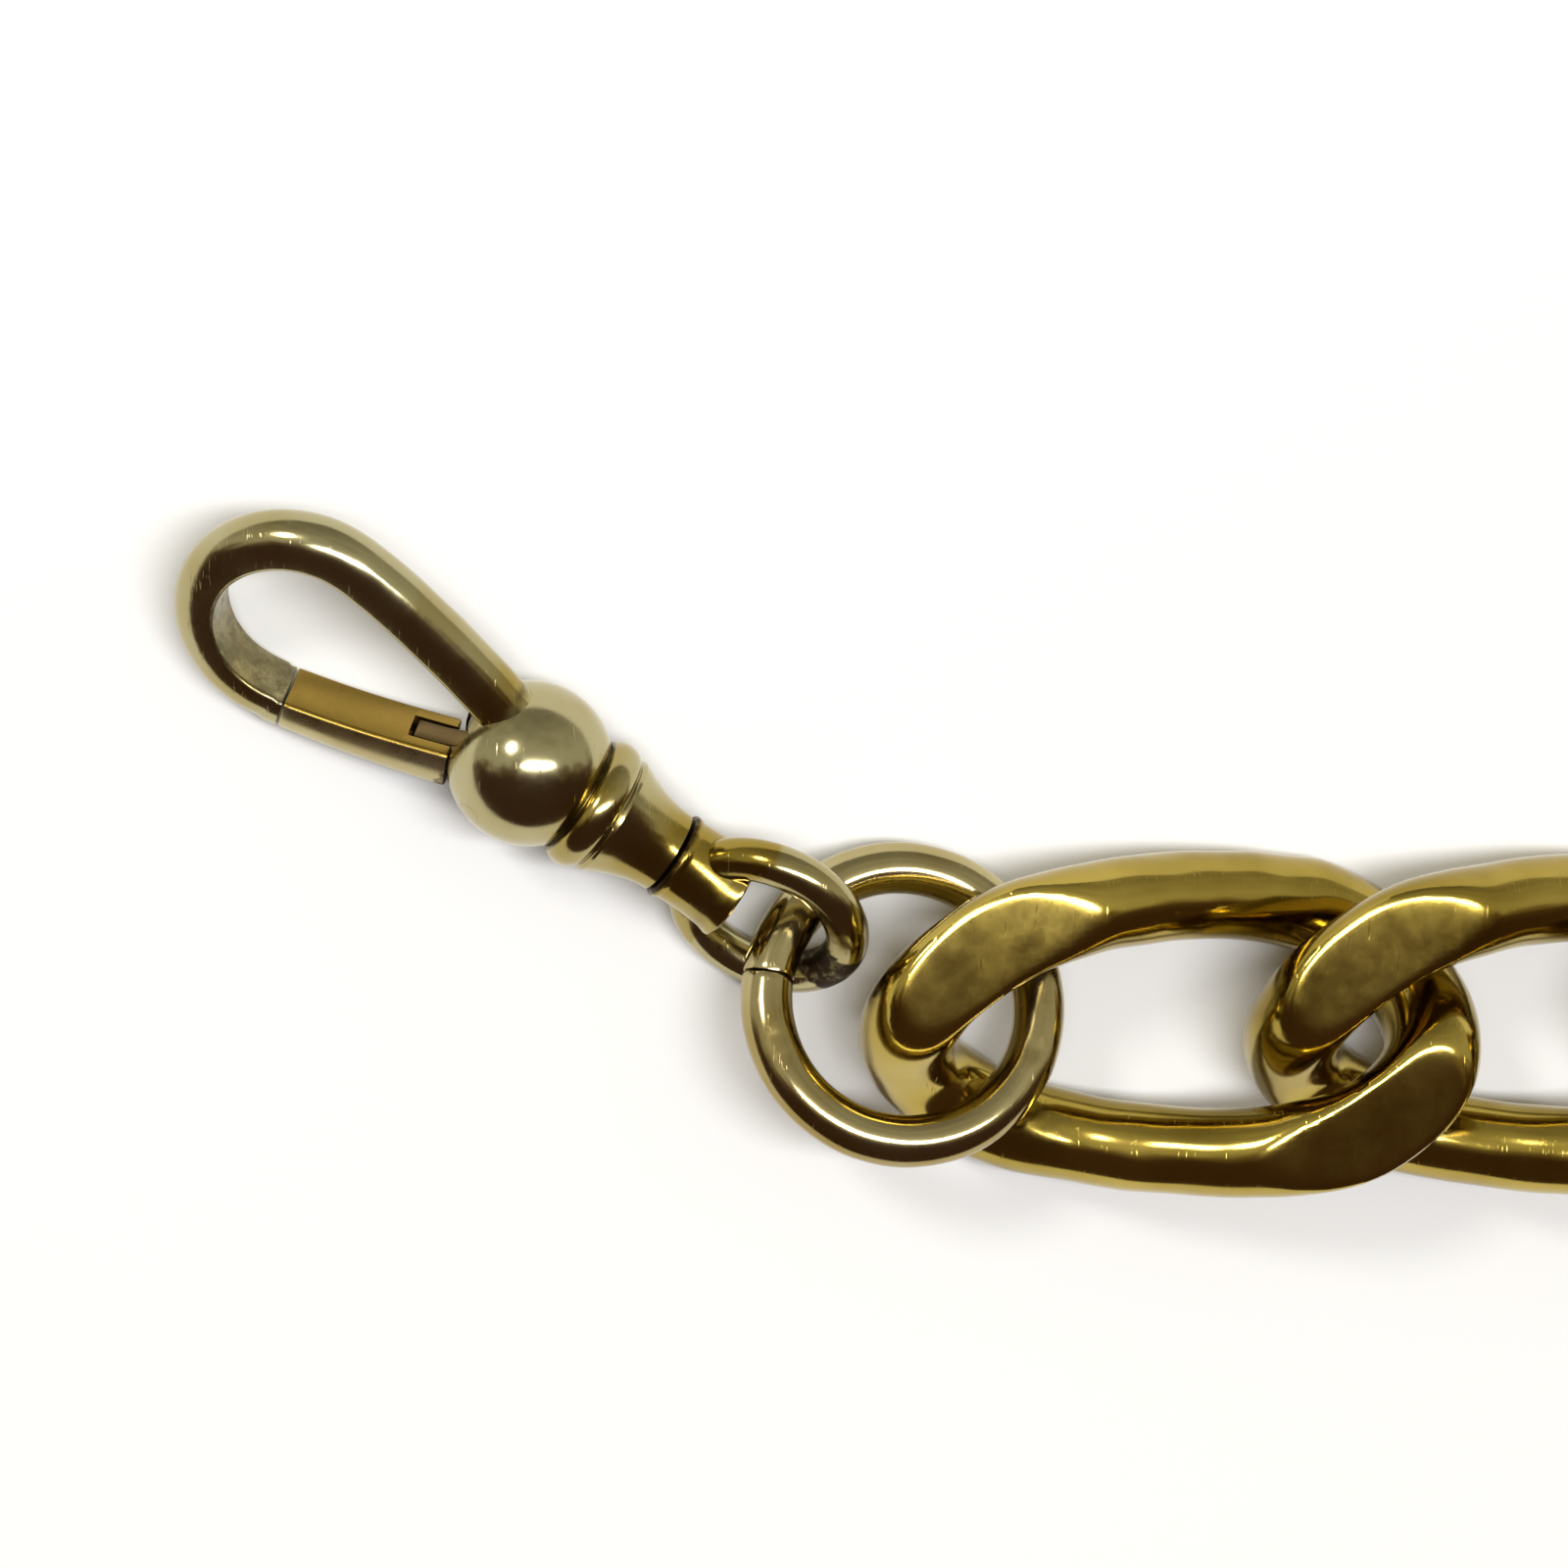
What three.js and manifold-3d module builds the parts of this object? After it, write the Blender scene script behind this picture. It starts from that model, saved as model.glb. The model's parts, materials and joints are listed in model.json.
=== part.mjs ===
// Pocket watch chain: a spring swivel clasp, a jump ring, filed curb links, a second jump
// ring and a toggle bar for a buttonhole. Millimetres, +Z up.
// The origin is on the surface the chain lies on, under the middle of its whole outline.
import * as THREE from 'three';
import { mergeVertices } from 'three/addons/utils/BufferGeometryUtils.js';
import Module from 'manifold-3d';

const wasm = await Module();
wasm.setup();

// ---- Driving dimensions -------------------------------------------------------------------

// Curb links: an oval ring of round wire, twisted about its long axis, then filed flat.
const LINK_COUNT = 19;
const LINK_INNER_LENGTH = 14.3;
const LINK_INNER_WIDTH = 5.0;
const LINK_WIRE = 3.2;
const LINK_TWIST = THREE.MathUtils.degToRad(48); // at each end, in opposite senses
const LINK_FILED = 0.67; // depth that is filed off above and below
const LINK_SLACK = 1.4; // free play between two links along the chain

// Layout on the table: straight at the clasp, then a gentle bend.
const STRAIGHT_LINKS = 3;
const BEND_SIDEWAYS_JOINT = THREE.MathUtils.degToRad(-12);
const BEND_LIFTING_JOINT = THREE.MathUtils.degToRad(-6);

// Jump rings.
const RING_RADIUS = 4.4; // to the middle of the wire
const RING_WIRE = 1.6;
const RING_REACH = 2.64; // how far the ring's wire stands inside a link's end
const RING_ASIDE = 0.68; // the ring lies a little to one side of the link's axis
const RING_RAISED = 0.24; // above the middle of the link
const RING_TILT = THREE.MathUtils.degToRad(21.7);
const RING_PITCH = THREE.MathUtils.degToRad(2.2);
const RING_SEAM = 0.12; // the butt joint where the ring was closed
const RING_SEAM_ANGLE = THREE.MathUtils.degToRad(168);

// Swivel eye: a ring of wire soldered through a short collar.
const EYE_RADIUS = 2.7;
const EYE_WIRE = 1.4;
const EYE_BEARING = THREE.MathUtils.degToRad(148); // round the jump ring
const EYE_STANDOFF = 0.84; // eye centre outside the middle of the ring's wire
const EYE_ROLL = THREE.MathUtils.degToRad(48);
const COLLAR_RADIUS = 1.45;
const COLLAR_LENGTH = 1.95;
const COLLAR_RIM = 0.12;
const COLLAR_RIM_WIDTH = 0.25;
const COLLAR_BEVEL = 0.15;
const EYE_SUNK = 0.35; // depth of the eye's wire in the collar's end

// Swivel rivet.
const RIVET_RADIUS = 0.55;
const RIVET_HEAD_RADIUS = 0.85;
const RIVET_HEAD_THICKNESS = 0.3;
const RIVET_DEPTH = 2.0; // how far it reaches into the head
const RIVET_DOME = 0.6; // share of the head's thickness and radius that isn't domed

// Clasp head: ball, bead and bell turned on one axis.
const CLASP_HEADING = THREE.MathUtils.degToRad(-32);
const CLASP_ROLL = THREE.MathUtils.degToRad(37);
const BALL_RADIUS = 2.6;
const BALL_FLAT = 1.75; // distance of the ball's cut front face from its centre
const BEAD_RADIUS = 2.25;
const BEAD_LENGTH = 1.1;
const BEAD_SEAT = 0.7; // the bead starts this far inside the ball's far end
const BEAD_GROOVE = 0.05;
const BEAD_CURVE = [[0, 0.55], [0.22, 0.12], [0.5, 0], [0.82, 0.14], [1, 0.4]]; // share, depth
const BELL_RADIUS = 2.0;
const BELL_END_RADIUS = 1.32;
const BELL_LENGTH = 2.3;
const BELL_STEP = 0.1; // between the bead and the bell
const BELL_CURVE = [[0, 0], [0.3, 0.42], [0.65, 0.82], [1, 1]]; // share of length, of fall

// Hook and gate: D-section arms, round outside and flat inside.
const HOOK_LENGTH = 12.55; // ball centre to the outside of the crook
const HOOK_HALF_WIDTH = 3.9;
const CROOK_START = THREE.MathUtils.degToRad(80); // where the arm runs into the crook
const ARM_WIDTH = 1.9;
const ARM_DEPTH = 1.4;
const ARM_INNER = 0.55; // from the arm's middle line to its flat
const ARM_ROOT_HEIGHT = 1.3;
const ARM_ROOT_BACK = 0.6; // the arm starts inside the ball, this far from its centre
const ARM_ROOT_SUNK = 0.3;
const ARM_STRAIGHT = 0.25; // from the ball's face to where the arm begins to rise
const ARM_RISE = [[0.36, 0.38], [0.75, 0.8]]; // share of its length, share of its rise
const HOOK_TIP = 7.95; // distance of the hook's tip from the ball centre
const LAP_LENGTH = 1.15;
const LAP_THICKNESS = 0.45;
const LAP_ROOT = 0.9; // how far the tongue reaches into the gate
const GATE_ROOT_LOW = 1.05; // the gate's middle line at its shoulder
const GATE_BOW = 0.12;
const GATE_NECK_REACH = 0.6;
const GATE_NECK_TOP = 0.05; // under the gate's middle line
const GATE_NECK_DEPTH = 0.55;
const GATE_PIN_BACK = 0.9;
const GATE_PIN_LOW = 1.3;
const GATE_PIN_RADIUS = 0.35;
const GATE_TAIL_RADIUS = 0.95;
const GATE_TAIL_WIDTH = 0.9;
const GATE_PIN_LENGTH = 3.64;
const GATE_SHOULDER = 2.2;
const SPRING_WIDTH = 0.8;
const SPRING_THICKNESS = 0.25;
const SPRING_SLOT_LENGTH = 1.55;
const SPRING_SLOT_DEPTH = 0.55;
const SPRING_SLOT_SIDE = 0.2; // room on each side of the leaf

// Toggle bar for the buttonhole.
const BAR_LENGTH = 32;
const BAR_RADIUS = 1.45;
const BAR_TIP_RADIUS = 1.0;
const BAR_BALL_RADIUS = 1.9;
const BAR_COLLAR_RADIUS = 2.0;
const BAR_COLLAR_LENGTH = 3.4;
const BAR_COLLAR_BEVEL = 0.4;
const BAR_COLLAR_STEP = 0.35;
const BAR_COLLAR_FOOT = 0.15;
const BAR_BALL_NECK = 1.615; // from the end ball's middle to the bar's thin end
const BAR_BALL_SWEEP = THREE.MathUtils.degToRad(144);
const BAR_EYE_RADIUS = 2.2;
const BAR_EYE_STANDOFF = 0.25;
const BAR_SHANK_LENGTH = 1.5; // free length between the collar and the eye's wire
const BAR_SHANK_RADIUS = 0.85;

// Clearances.
const GAP = 0.3;
const FLOOR_GAP = 0.02;

// Fineness of the faceted solids.
const LINK_STEPS = 26;
const WIRE_SIDES = 8;
const RING_STEPS = 30;
const EYE_STEPS = 24;
const TURNED_SIDES = 20;
const ARC_STEPS = 5;
const HOOK_STEPS = 26;
const GATE_STEPS = 6;
const CROOK_POINTS = 12;

// ---- Derived places -----------------------------------------------------------------------

const linkHalfLength = (LINK_INNER_LENGTH + LINK_WIRE) / 2; // to the middle of the wire
const linkHalfWidth = (LINK_INNER_WIDTH + LINK_WIRE) / 2;
const linkPitch = LINK_INNER_LENGTH - LINK_SLACK;

const beadStart = BALL_RADIUS - BEAD_SEAT;
const beadEnd = beadStart + BEAD_LENGTH;
const bellStart = beadEnd + BELL_STEP;
const headEnd = bellStart + BELL_LENGTH;
const collarStart = headEnd + GAP;
const collarEnd = collarStart + COLLAR_LENGTH;
const eyeCentre = collarEnd - EYE_SUNK + EYE_RADIUS - EYE_WIRE / 2;
const crookRadius = HOOK_HALF_WIDTH - (ARM_DEPTH - ARM_INNER);
const crookCentre = HOOK_LENGTH - HOOK_HALF_WIDTH;
const eyeDrop = EYE_RADIUS * Math.sin(EYE_ROLL) + EYE_WIRE / 2;
const claspHeight = Math.max(BALL_RADIUS, eyeDrop) + FLOOR_GAP;

const mix = THREE.MathUtils.lerp;

// ---- Solids -------------------------------------------------------------------------------

// A closed geometry with its shared vertices merged, as a solid for joining and cutting.
function solidOf(geometry) {
  const bare = geometry.index ? geometry.toNonIndexed() : geometry;
  bare.deleteAttribute('normal');
  bare.deleteAttribute('uv');
  const merged = mergeVertices(bare, 1e-4);
  const index = merged.index.array;
  const triangles = [];
  for (let i = 0; i < index.length; i += 3) {
    const [a, b, c] = index.subarray(i, i + 3);
    if (a !== b && b !== c && c !== a) triangles.push(a, b, c);
  }
  const mesh = new wasm.Mesh({
    numProp: 3,
    vertProperties: new Float32Array(merged.attributes.position.array),
    triVerts: new Uint32Array(triangles),
  });
  return new wasm.Manifold(mesh);
}

function geometryOf(solid) {
  const mesh = solid.getMesh();
  const geometry = new THREE.BufferGeometry();
  geometry.setAttribute('position', new THREE.BufferAttribute(mesh.vertProperties, 3));
  geometry.setIndex(new THREE.BufferAttribute(mesh.triVerts, 1));
  geometry.computeVertexNormals();
  return geometry;
}

function box(from, to) {
  const size = new THREE.Vector3().subVectors(to, from);
  const middle = new THREE.Vector3().addVectors(from, to).multiplyScalar(0.5);
  const geometry = new THREE.BoxGeometry(size.x, size.y, size.z);
  geometry.translate(middle.x, middle.y, middle.z);
  return solidOf(geometry);
}

// A body turned about the X axis from [position along X, radius] pairs.
function turned(profile, sides = TURNED_SIDES) {
  const points = profile.map(([x, radius]) => new THREE.Vector2(radius, x));
  const geometry = new THREE.LatheGeometry(points, sides);
  geometry.rotateZ(-Math.PI / 2);
  return solidOf(geometry);
}

// A plain rod along X.
function rod(from, to, radius, sides = TURNED_SIDES) {
  return turned([[from, 0], [from, radius], [to, radius], [to, 0]], sides);
}

// A rod along Z, centred on z = 0.
function crossRod(x, y, radius, length, sides = 16) {
  const geometry = new THREE.CylinderGeometry(radius, radius, length, sides);
  geometry.rotateX(Math.PI / 2);
  geometry.translate(x, y, 0);
  return solidOf(geometry);
}

// A flat plate with a straight-sided outline in XY, centred on z = 0.
function plate(corners, width) {
  const shape = new THREE.Shape(corners.map(([x, y]) => new THREE.Vector2(x, y)));
  const geometry = new THREE.ExtrudeGeometry(shape, { depth: width, bevelEnabled: false });
  geometry.translate(0, 0, -width / 2);
  return solidOf(geometry);
}

// ---- Curb link ----------------------------------------------------------------------------

// The middle line of the wire: two straights and two half circles, twisted about X.
class CurbPath extends THREE.Curve {
  getPoint(u, target = new THREE.Vector3()) {
    const straight = linkHalfLength - linkHalfWidth;
    const arc = Math.PI * linkHalfWidth;
    const walked = (((u % 1) + 1) % 1) * (4 * straight + 2 * arc);
    const half = walked < 2 * straight + arc ? 1 : -1;
    const along = half > 0 ? walked : walked - 2 * straight - arc;
    const turn = Math.max(0, (along - 2 * straight) / linkHalfWidth);
    const run = Math.min(along, 2 * straight);
    const x = half * (run - straight + linkHalfWidth * Math.sin(turn));
    const side = half * linkHalfWidth * Math.cos(turn);
    const twist = (-LINK_TWIST * x) / linkHalfLength;
    return target.set(x, side * Math.cos(twist), side * Math.sin(twist));
  }
}

function linkTop(path) {
  const heights = path.getSpacedPoints(400).map((point) => point.z);
  return Math.max(...heights) + LINK_WIRE / 2;
}

const curbPath = new CurbPath();
const linkHalfThickness = linkTop(curbPath) - LINK_FILED;

function curbLinkSolid() {
  const tube = new THREE.TubeGeometry(curbPath, LINK_STEPS, LINK_WIRE / 2, WIRE_SIDES, true);
  const reach = linkHalfLength + LINK_WIRE;
  const slab = box(
    new THREE.Vector3(-reach, -reach, -linkHalfThickness),
    new THREE.Vector3(reach, reach, linkHalfThickness),
  );
  return solidOf(tube).intersect(slab);
}

// ---- Jump ring ----------------------------------------------------------------------------

function jumpRingSolid() {
  const ring = new THREE.TorusGeometry(RING_RADIUS, RING_WIRE / 2, WIRE_SIDES, RING_STEPS);
  const saw = new THREE.BoxGeometry(RING_WIRE * 2, RING_SEAM, RING_WIRE * 2);
  saw.translate(RING_RADIUS, 0, 0);
  saw.rotateZ(RING_SEAM_ANGLE);
  return solidOf(ring).subtract(solidOf(saw));
}

// ---- Swivel eye and rivet -----------------------------------------------------------------

function eyeRing(radius, centre) {
  const ring = new THREE.TorusGeometry(radius, EYE_WIRE / 2, WIRE_SIDES, EYE_STEPS);
  ring.translate(centre, 0, 0);
  return solidOf(ring);
}

function swivelEyeSolid() {
  const collar = turned([
    [collarStart, 0],
    [collarStart, COLLAR_RADIUS + COLLAR_RIM],
    [collarStart + COLLAR_RIM_WIDTH, COLLAR_RADIUS + COLLAR_RIM],
    [collarStart + COLLAR_RIM_WIDTH + COLLAR_BEVEL, COLLAR_RADIUS],
    [collarEnd - COLLAR_BEVEL, COLLAR_RADIUS],
    [collarEnd, COLLAR_RADIUS - COLLAR_BEVEL],
    [collarEnd, 0],
  ]);
  const bore = rod(collarStart - 1, collarEnd + 1, RIVET_RADIUS + GAP, 16);
  return collar.add(eyeRing(EYE_RADIUS, eyeCentre)).subtract(bore);
}

function swivelRivetSolid() {
  const head = collarEnd + GAP / 2;
  return turned([
    [headEnd - RIVET_DEPTH, 0],
    [headEnd - RIVET_DEPTH, RIVET_RADIUS],
    [head, RIVET_RADIUS],
    [head, RIVET_HEAD_RADIUS],
    [head + RIVET_HEAD_THICKNESS * RIVET_DOME, RIVET_HEAD_RADIUS],
    [head + RIVET_HEAD_THICKNESS, RIVET_HEAD_RADIUS * RIVET_DOME],
    [head + RIVET_HEAD_THICKNESS, 0],
  ], 16);
}

// ---- Clasp body: ball, bead, bell and fixed hook arm in one casting ------------------------

function ballProfile() {
  const start = Math.acos(-BALL_FLAT / BALL_RADIUS);
  const end = Math.acos((beadStart - BEAD_GROOVE) / BALL_RADIUS);
  const points = [];
  for (let i = 0; i <= ARC_STEPS; i += 1) {
    const angle = start + ((end - start) * i) / ARC_STEPS;
    points.push([BALL_RADIUS * Math.cos(angle), BALL_RADIUS * Math.sin(angle)]);
  }
  return points;
}

function headProfile() {
  const bead = BEAD_CURVE.map(
    ([share, depth]) => [beadStart + BEAD_LENGTH * share, BEAD_RADIUS - depth],
  );
  const bell = BELL_CURVE.map(
    ([share, fall]) => [bellStart + BELL_LENGTH * share, mix(BELL_RADIUS, BELL_END_RADIUS, fall)],
  );
  return [[-BALL_FLAT, 0], ...ballProfile(), ...bead, ...bell, [headEnd, 0]];
}

// Across the arm on x, towards the inside of the loop on +y.
function armSection() {
  const round = ARM_WIDTH / 2;
  const outer = ARM_INNER - ARM_DEPTH;
  const shape = new THREE.Shape();
  shape.moveTo(round, ARM_INNER);
  shape.lineTo(-round, ARM_INNER);
  shape.lineTo(-round, outer + round);
  shape.absarc(0, outer + round, round, Math.PI, 2 * Math.PI, false);
  shape.closePath();
  return shape;
}

function arm(points, steps) {
  const path = new THREE.CatmullRomCurve3(points, false, 'centripetal');
  const options = { steps, curveSegments: ARC_STEPS, extrudePath: path };
  return solidOf(new THREE.ExtrudeGeometry(armSection(), options));
}

function hookPath() {
  const front = BALL_FLAT + ARM_STRAIGHT;
  const crookFront = crookCentre - crookRadius * Math.cos(CROOK_START);
  const points = [
    new THREE.Vector3(-ARM_ROOT_BACK, ARM_ROOT_HEIGHT - ARM_ROOT_SUNK, 0),
    new THREE.Vector3(-front, ARM_ROOT_HEIGHT, 0),
  ];
  for (const [along, rise] of ARM_RISE) {
    const height = mix(ARM_ROOT_HEIGHT, crookRadius, rise);
    points.push(new THREE.Vector3(-mix(front, crookFront, along), height, 0));
  }
  const last = Math.acos((crookCentre - HOOK_TIP) / crookRadius);
  const sweep = 2 * Math.PI - last - CROOK_START;
  for (let i = 0; i <= CROOK_POINTS; i += 1) {
    const angle = CROOK_START + (sweep * i) / CROOK_POINTS;
    const x = crookRadius * Math.cos(angle) - crookCentre;
    points.push(new THREE.Vector3(x, crookRadius * Math.sin(angle), 0));
  }
  return points;
}

const gateTipHeight = -Math.sqrt(crookRadius ** 2 - (crookCentre - HOOK_TIP) ** 2);
const lapInner = gateTipHeight + ARM_INNER;
const lapOuter = lapInner - LAP_THICKNESS;
const lapEnd = HOOK_TIP + LAP_LENGTH;
const springSeat = GATE_TAIL_RADIUS - GATE_PIN_LOW + GAP; // under the leaf's inner end

function claspBodySolid() {
  const mouth = box(
    new THREE.Vector3(-BALL_RADIUS * 2, -BALL_RADIUS * 2, -GATE_TAIL_WIDTH / 2 - GAP),
    new THREE.Vector3(
      GATE_TAIL_RADIUS - GATE_PIN_BACK + GAP,
      springSeat + SPRING_THICKNESS + GAP,
      GATE_TAIL_WIDTH / 2 + GAP,
    ),
  );
  const pinBore = crossRod(
    -GATE_PIN_BACK, -GATE_PIN_LOW, GATE_PIN_RADIUS + GAP, BALL_RADIUS * 3,
  );
  const rivetBore = rod(
    headEnd - RIVET_DEPTH - GAP, headEnd + 1, RIVET_RADIUS + GAP, 16,
  );
  const lapCut = box(
    new THREE.Vector3(-lapEnd, lapOuter - GAP, -ARM_WIDTH),
    new THREE.Vector3(-HOOK_TIP + 1, 0, ARM_WIDTH),
  );
  const hook = arm(hookPath(), HOOK_STEPS).subtract(lapCut);
  const head = turned(headProfile()).subtract(mouth).subtract(pinBore);
  return head.add(hook).subtract(rivetBore);
}

// ---- Gate, its pin and its leaf spring ----------------------------------------------------

// Height of the gate's middle line at a distance in front of the ball's centre.
function gateHeight(distance) {
  const share = (distance - GATE_SHOULDER) / (HOOK_TIP - GAP - GATE_SHOULDER);
  return mix(-GATE_ROOT_LOW, gateTipHeight, share);
}

// Floor of the spring's slot, parallel to the gate's inner flat.
function slotFloor(distance) {
  return gateHeight(distance) + ARM_INNER - SPRING_SLOT_DEPTH;
}

function gateSolid() {
  const points = [HOOK_TIP - GAP, (HOOK_TIP + GATE_SHOULDER) / 2, GATE_SHOULDER].map(
    (distance) => new THREE.Vector3(-distance, gateHeight(distance), 0),
  );
  points[1].y -= GATE_BOW;
  const bar = arm(points, GATE_STEPS);
  const tongue = box(
    new THREE.Vector3(-lapEnd + GAP, lapOuter, -ARM_WIDTH / 2),
    new THREE.Vector3(-HOOK_TIP + LAP_ROOT, lapInner, ARM_WIDTH / 2),
  );
  const tail = crossRod(
    -GATE_PIN_BACK, -GATE_PIN_LOW, GATE_TAIL_RADIUS, GATE_TAIL_WIDTH, 20,
  );
  const neckTop = -GATE_ROOT_LOW - GATE_NECK_TOP;
  const neck = box(
    new THREE.Vector3(
      -GATE_SHOULDER - GATE_NECK_REACH, neckTop - GATE_NECK_DEPTH, -GATE_TAIL_WIDTH / 2,
    ),
    new THREE.Vector3(-GATE_PIN_BACK, neckTop, GATE_TAIL_WIDTH / 2),
  );
  const pinBore = crossRod(
    -GATE_PIN_BACK, -GATE_PIN_LOW, GATE_PIN_RADIUS + GAP, GATE_TAIL_WIDTH * 2,
  );
  const slotEnd = GATE_SHOULDER + SPRING_SLOT_LENGTH;
  const slot = plate([
    [-slotEnd, slotFloor(slotEnd)],
    [-GATE_SHOULDER + 1, slotFloor(GATE_SHOULDER)],
    [-GATE_SHOULDER + 1, 0],
    [-slotEnd, 0],
  ], SPRING_WIDTH + 2 * SPRING_SLOT_SIDE);
  return bar.add(tongue).add(neck).subtract(slot).add(tail).subtract(pinBore);
}

function gatePinSolid() {
  return crossRod(-GATE_PIN_BACK, -GATE_PIN_LOW, GATE_PIN_RADIUS, GATE_PIN_LENGTH, 12);
}

// A bent leaf from the ball's mouth, over the gate's tail, into the slot in the gate.
function gateSpringSolid() {
  const far = GATE_SHOULDER + SPRING_SLOT_LENGTH - GAP;
  const low = slotFloor(far) + GAP;
  const knee = slotFloor(GATE_SHOULDER) + GAP;
  const inner = GATE_PIN_BACK + GAP;
  const top = springSeat + SPRING_THICKNESS;
  return plate([
    [-far, low],
    [-GATE_SHOULDER, knee],
    [-inner, springSeat],
    [-inner, top],
    [-GATE_SHOULDER - 0.1, knee + SPRING_THICKNESS],
    [-far, low + SPRING_THICKNESS],
  ], SPRING_WIDTH);
}

// ---- Toggle bar ---------------------------------------------------------------------------

// Its axis lies along Y; the eye stands out towards -X.
function toggleBarSolid() {
  const half = BAR_LENGTH / 2;
  const ball = half - BAR_BALL_RADIUS;
  const collar = BAR_COLLAR_LENGTH / 2;
  const side = [
    [collar - BAR_COLLAR_BEVEL, BAR_COLLAR_RADIUS],
    [collar, BAR_COLLAR_RADIUS - BAR_COLLAR_STEP],
    [collar + BAR_COLLAR_FOOT, BAR_RADIUS],
    [ball - BAR_BALL_NECK, BAR_TIP_RADIUS],
  ];
  for (let i = 0; i < ARC_STEPS; i += 1) {
    const angle = BAR_BALL_SWEEP * (1 - i / ARC_STEPS);
    side.push([ball + BAR_BALL_RADIUS * Math.cos(angle), BAR_BALL_RADIUS * Math.sin(angle)]);
  }
  const mirrored = side.map(([along, radius]) => [-along, radius]).reverse();
  return turned([[-half, 0], ...mirrored, ...side, [half, 0]], 16).rotate([0, 0, 90]);
}

const barEyeCentre = BAR_COLLAR_RADIUS + BAR_SHANK_LENGTH + EYE_WIRE / 2 + BAR_EYE_RADIUS;

function toggleEyeSolid() {
  const ring = new THREE.TorusGeometry(BAR_EYE_RADIUS, EYE_WIRE / 2, WIRE_SIDES, EYE_STEPS);
  ring.rotateX(Math.PI / 2);
  ring.translate(-barEyeCentre, 0, 0);
  const shank = rod(
    -BAR_COLLAR_RADIUS - BAR_SHANK_LENGTH - EYE_WIRE / 2, -BAR_COLLAR_RADIUS - GAP,
    BAR_SHANK_RADIUS, 12,
  );
  return solidOf(ring).add(shank);
}

// ---- Assembly -----------------------------------------------------------------------------

const gold = { color: 0x9a7a2c, roughness: 0.22, metalness: 1 };
const paleGold = { color: 0x96835a, roughness: 0.2, metalness: 1 };
const spring = { color: 0x6e6250, roughness: 0.35, metalness: 1 };

function piece(name, solid, finish) {
  const mesh = new THREE.Mesh(geometryOf(solid), new THREE.MeshStandardMaterial(finish));
  mesh.name = name;
  return mesh;
}

// A group at a place, turned by its heading about Z.
function place(x, y, z, heading = 0) {
  const group = new THREE.Group();
  group.position.set(x, y, z);
  group.rotation.z = heading;
  return group;
}

function bendAfter(link) {
  if (link < STRAIGHT_LINKS) return 0;
  return link % 2 === 1 ? BEND_SIDEWAYS_JOINT : BEND_LIFTING_JOINT;
}

// Where each link lies: two neighbours meet half a pitch from the middle of each.
function linkPlaces() {
  const places = [{ x: 0, y: 0, heading: 0 }];
  for (let link = 1; link < LINK_COUNT; link += 1) {
    const last = places[link - 1];
    const heading = last.heading + bendAfter(link);
    const step = linkPitch / 2;
    places.push({
      x: last.x + step * (Math.cos(last.heading) + Math.cos(heading)),
      y: last.y + step * (Math.sin(last.heading) + Math.sin(heading)),
      heading,
    });
  }
  return places;
}

const ringAway = LINK_INNER_LENGTH / 2 - RING_REACH + RING_RADIUS;
const eyeAway = RING_RADIUS + EYE_STANDOFF;

function jumpRing(name) {
  const tilt = new THREE.Group();
  tilt.rotation.x = -RING_TILT;
  tilt.add(piece(name, jumpRingSolid(), paleGold));
  const ring = place(-ringAway, RING_ASIDE, RING_RAISED);
  ring.rotation.y = RING_PITCH;
  ring.add(tilt);
  return ring;
}

function clasp() {
  const group = place(
    -ringAway + eyeAway * Math.cos(EYE_BEARING) - eyeCentre * Math.cos(CLASP_HEADING),
    RING_ASIDE + eyeAway * Math.sin(EYE_BEARING) - eyeCentre * Math.sin(CLASP_HEADING),
    claspHeight - linkHalfThickness,
    CLASP_HEADING,
  );
  const eye = new THREE.Group();
  eye.rotation.x = EYE_ROLL;
  eye.add(piece('swivel_eye', swivelEyeSolid(), paleGold));
  const body = new THREE.Group();
  body.rotation.x = CLASP_ROLL;
  body.add(piece('clasp_body', claspBodySolid(), paleGold));
  body.add(piece('swivel_rivet', swivelRivetSolid(), gold));
  body.add(piece('gate', gateSolid(), gold));
  body.add(piece('gate_pin', gatePinSolid(), paleGold));
  body.add(piece('gate_spring', gateSpringSolid(), spring));
  group.add(eye, body);
  return group;
}

function toggle() {
  const height = BAR_COLLAR_RADIUS + FLOOR_GAP - linkHalfThickness;
  const drop = height - RING_RAISED - RING_RADIUS * Math.sin(RING_PITCH);
  const pitch = Math.asin(-drop / barEyeCentre);
  const eyeX = ringAway + RING_RADIUS * Math.cos(RING_PITCH) + BAR_EYE_STANDOFF;
  const group = place(eyeX + barEyeCentre * Math.cos(pitch), -RING_ASIDE, height);
  group.rotation.y = pitch;
  group.add(piece('toggle_bar', toggleBarSolid(), paleGold));
  group.add(piece('toggle_eye', toggleEyeSolid(), paleGold));
  return group;
}

const chain = new THREE.Group();
const places = linkPlaces();
places.forEach(({ x, y, heading }, index) => {
  const link = place(x, y, linkHalfThickness, heading);
  const name = `link_${String(index + 1).padStart(2, '0')}`;
  link.add(piece(name, curbLinkSolid(), gold));
  if (index === 0) link.add(jumpRing('jump_ring_clasp'), clasp());
  if (index === LINK_COUNT - 1) {
    const far = place(0, 0, 0, Math.PI);
    far.add(jumpRing('jump_ring_bar'));
    link.add(far, toggle());
  }
  chain.add(link);
});

// The whole is moved so that the origin lies under the middle of its outline.
chain.updateMatrixWorld(true);
const outline = new THREE.Box3().setFromObject(chain, true);
const middle = outline.getCenter(new THREE.Vector3());
chain.position.set(-middle.x, -middle.y, -outline.min.z);

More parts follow.
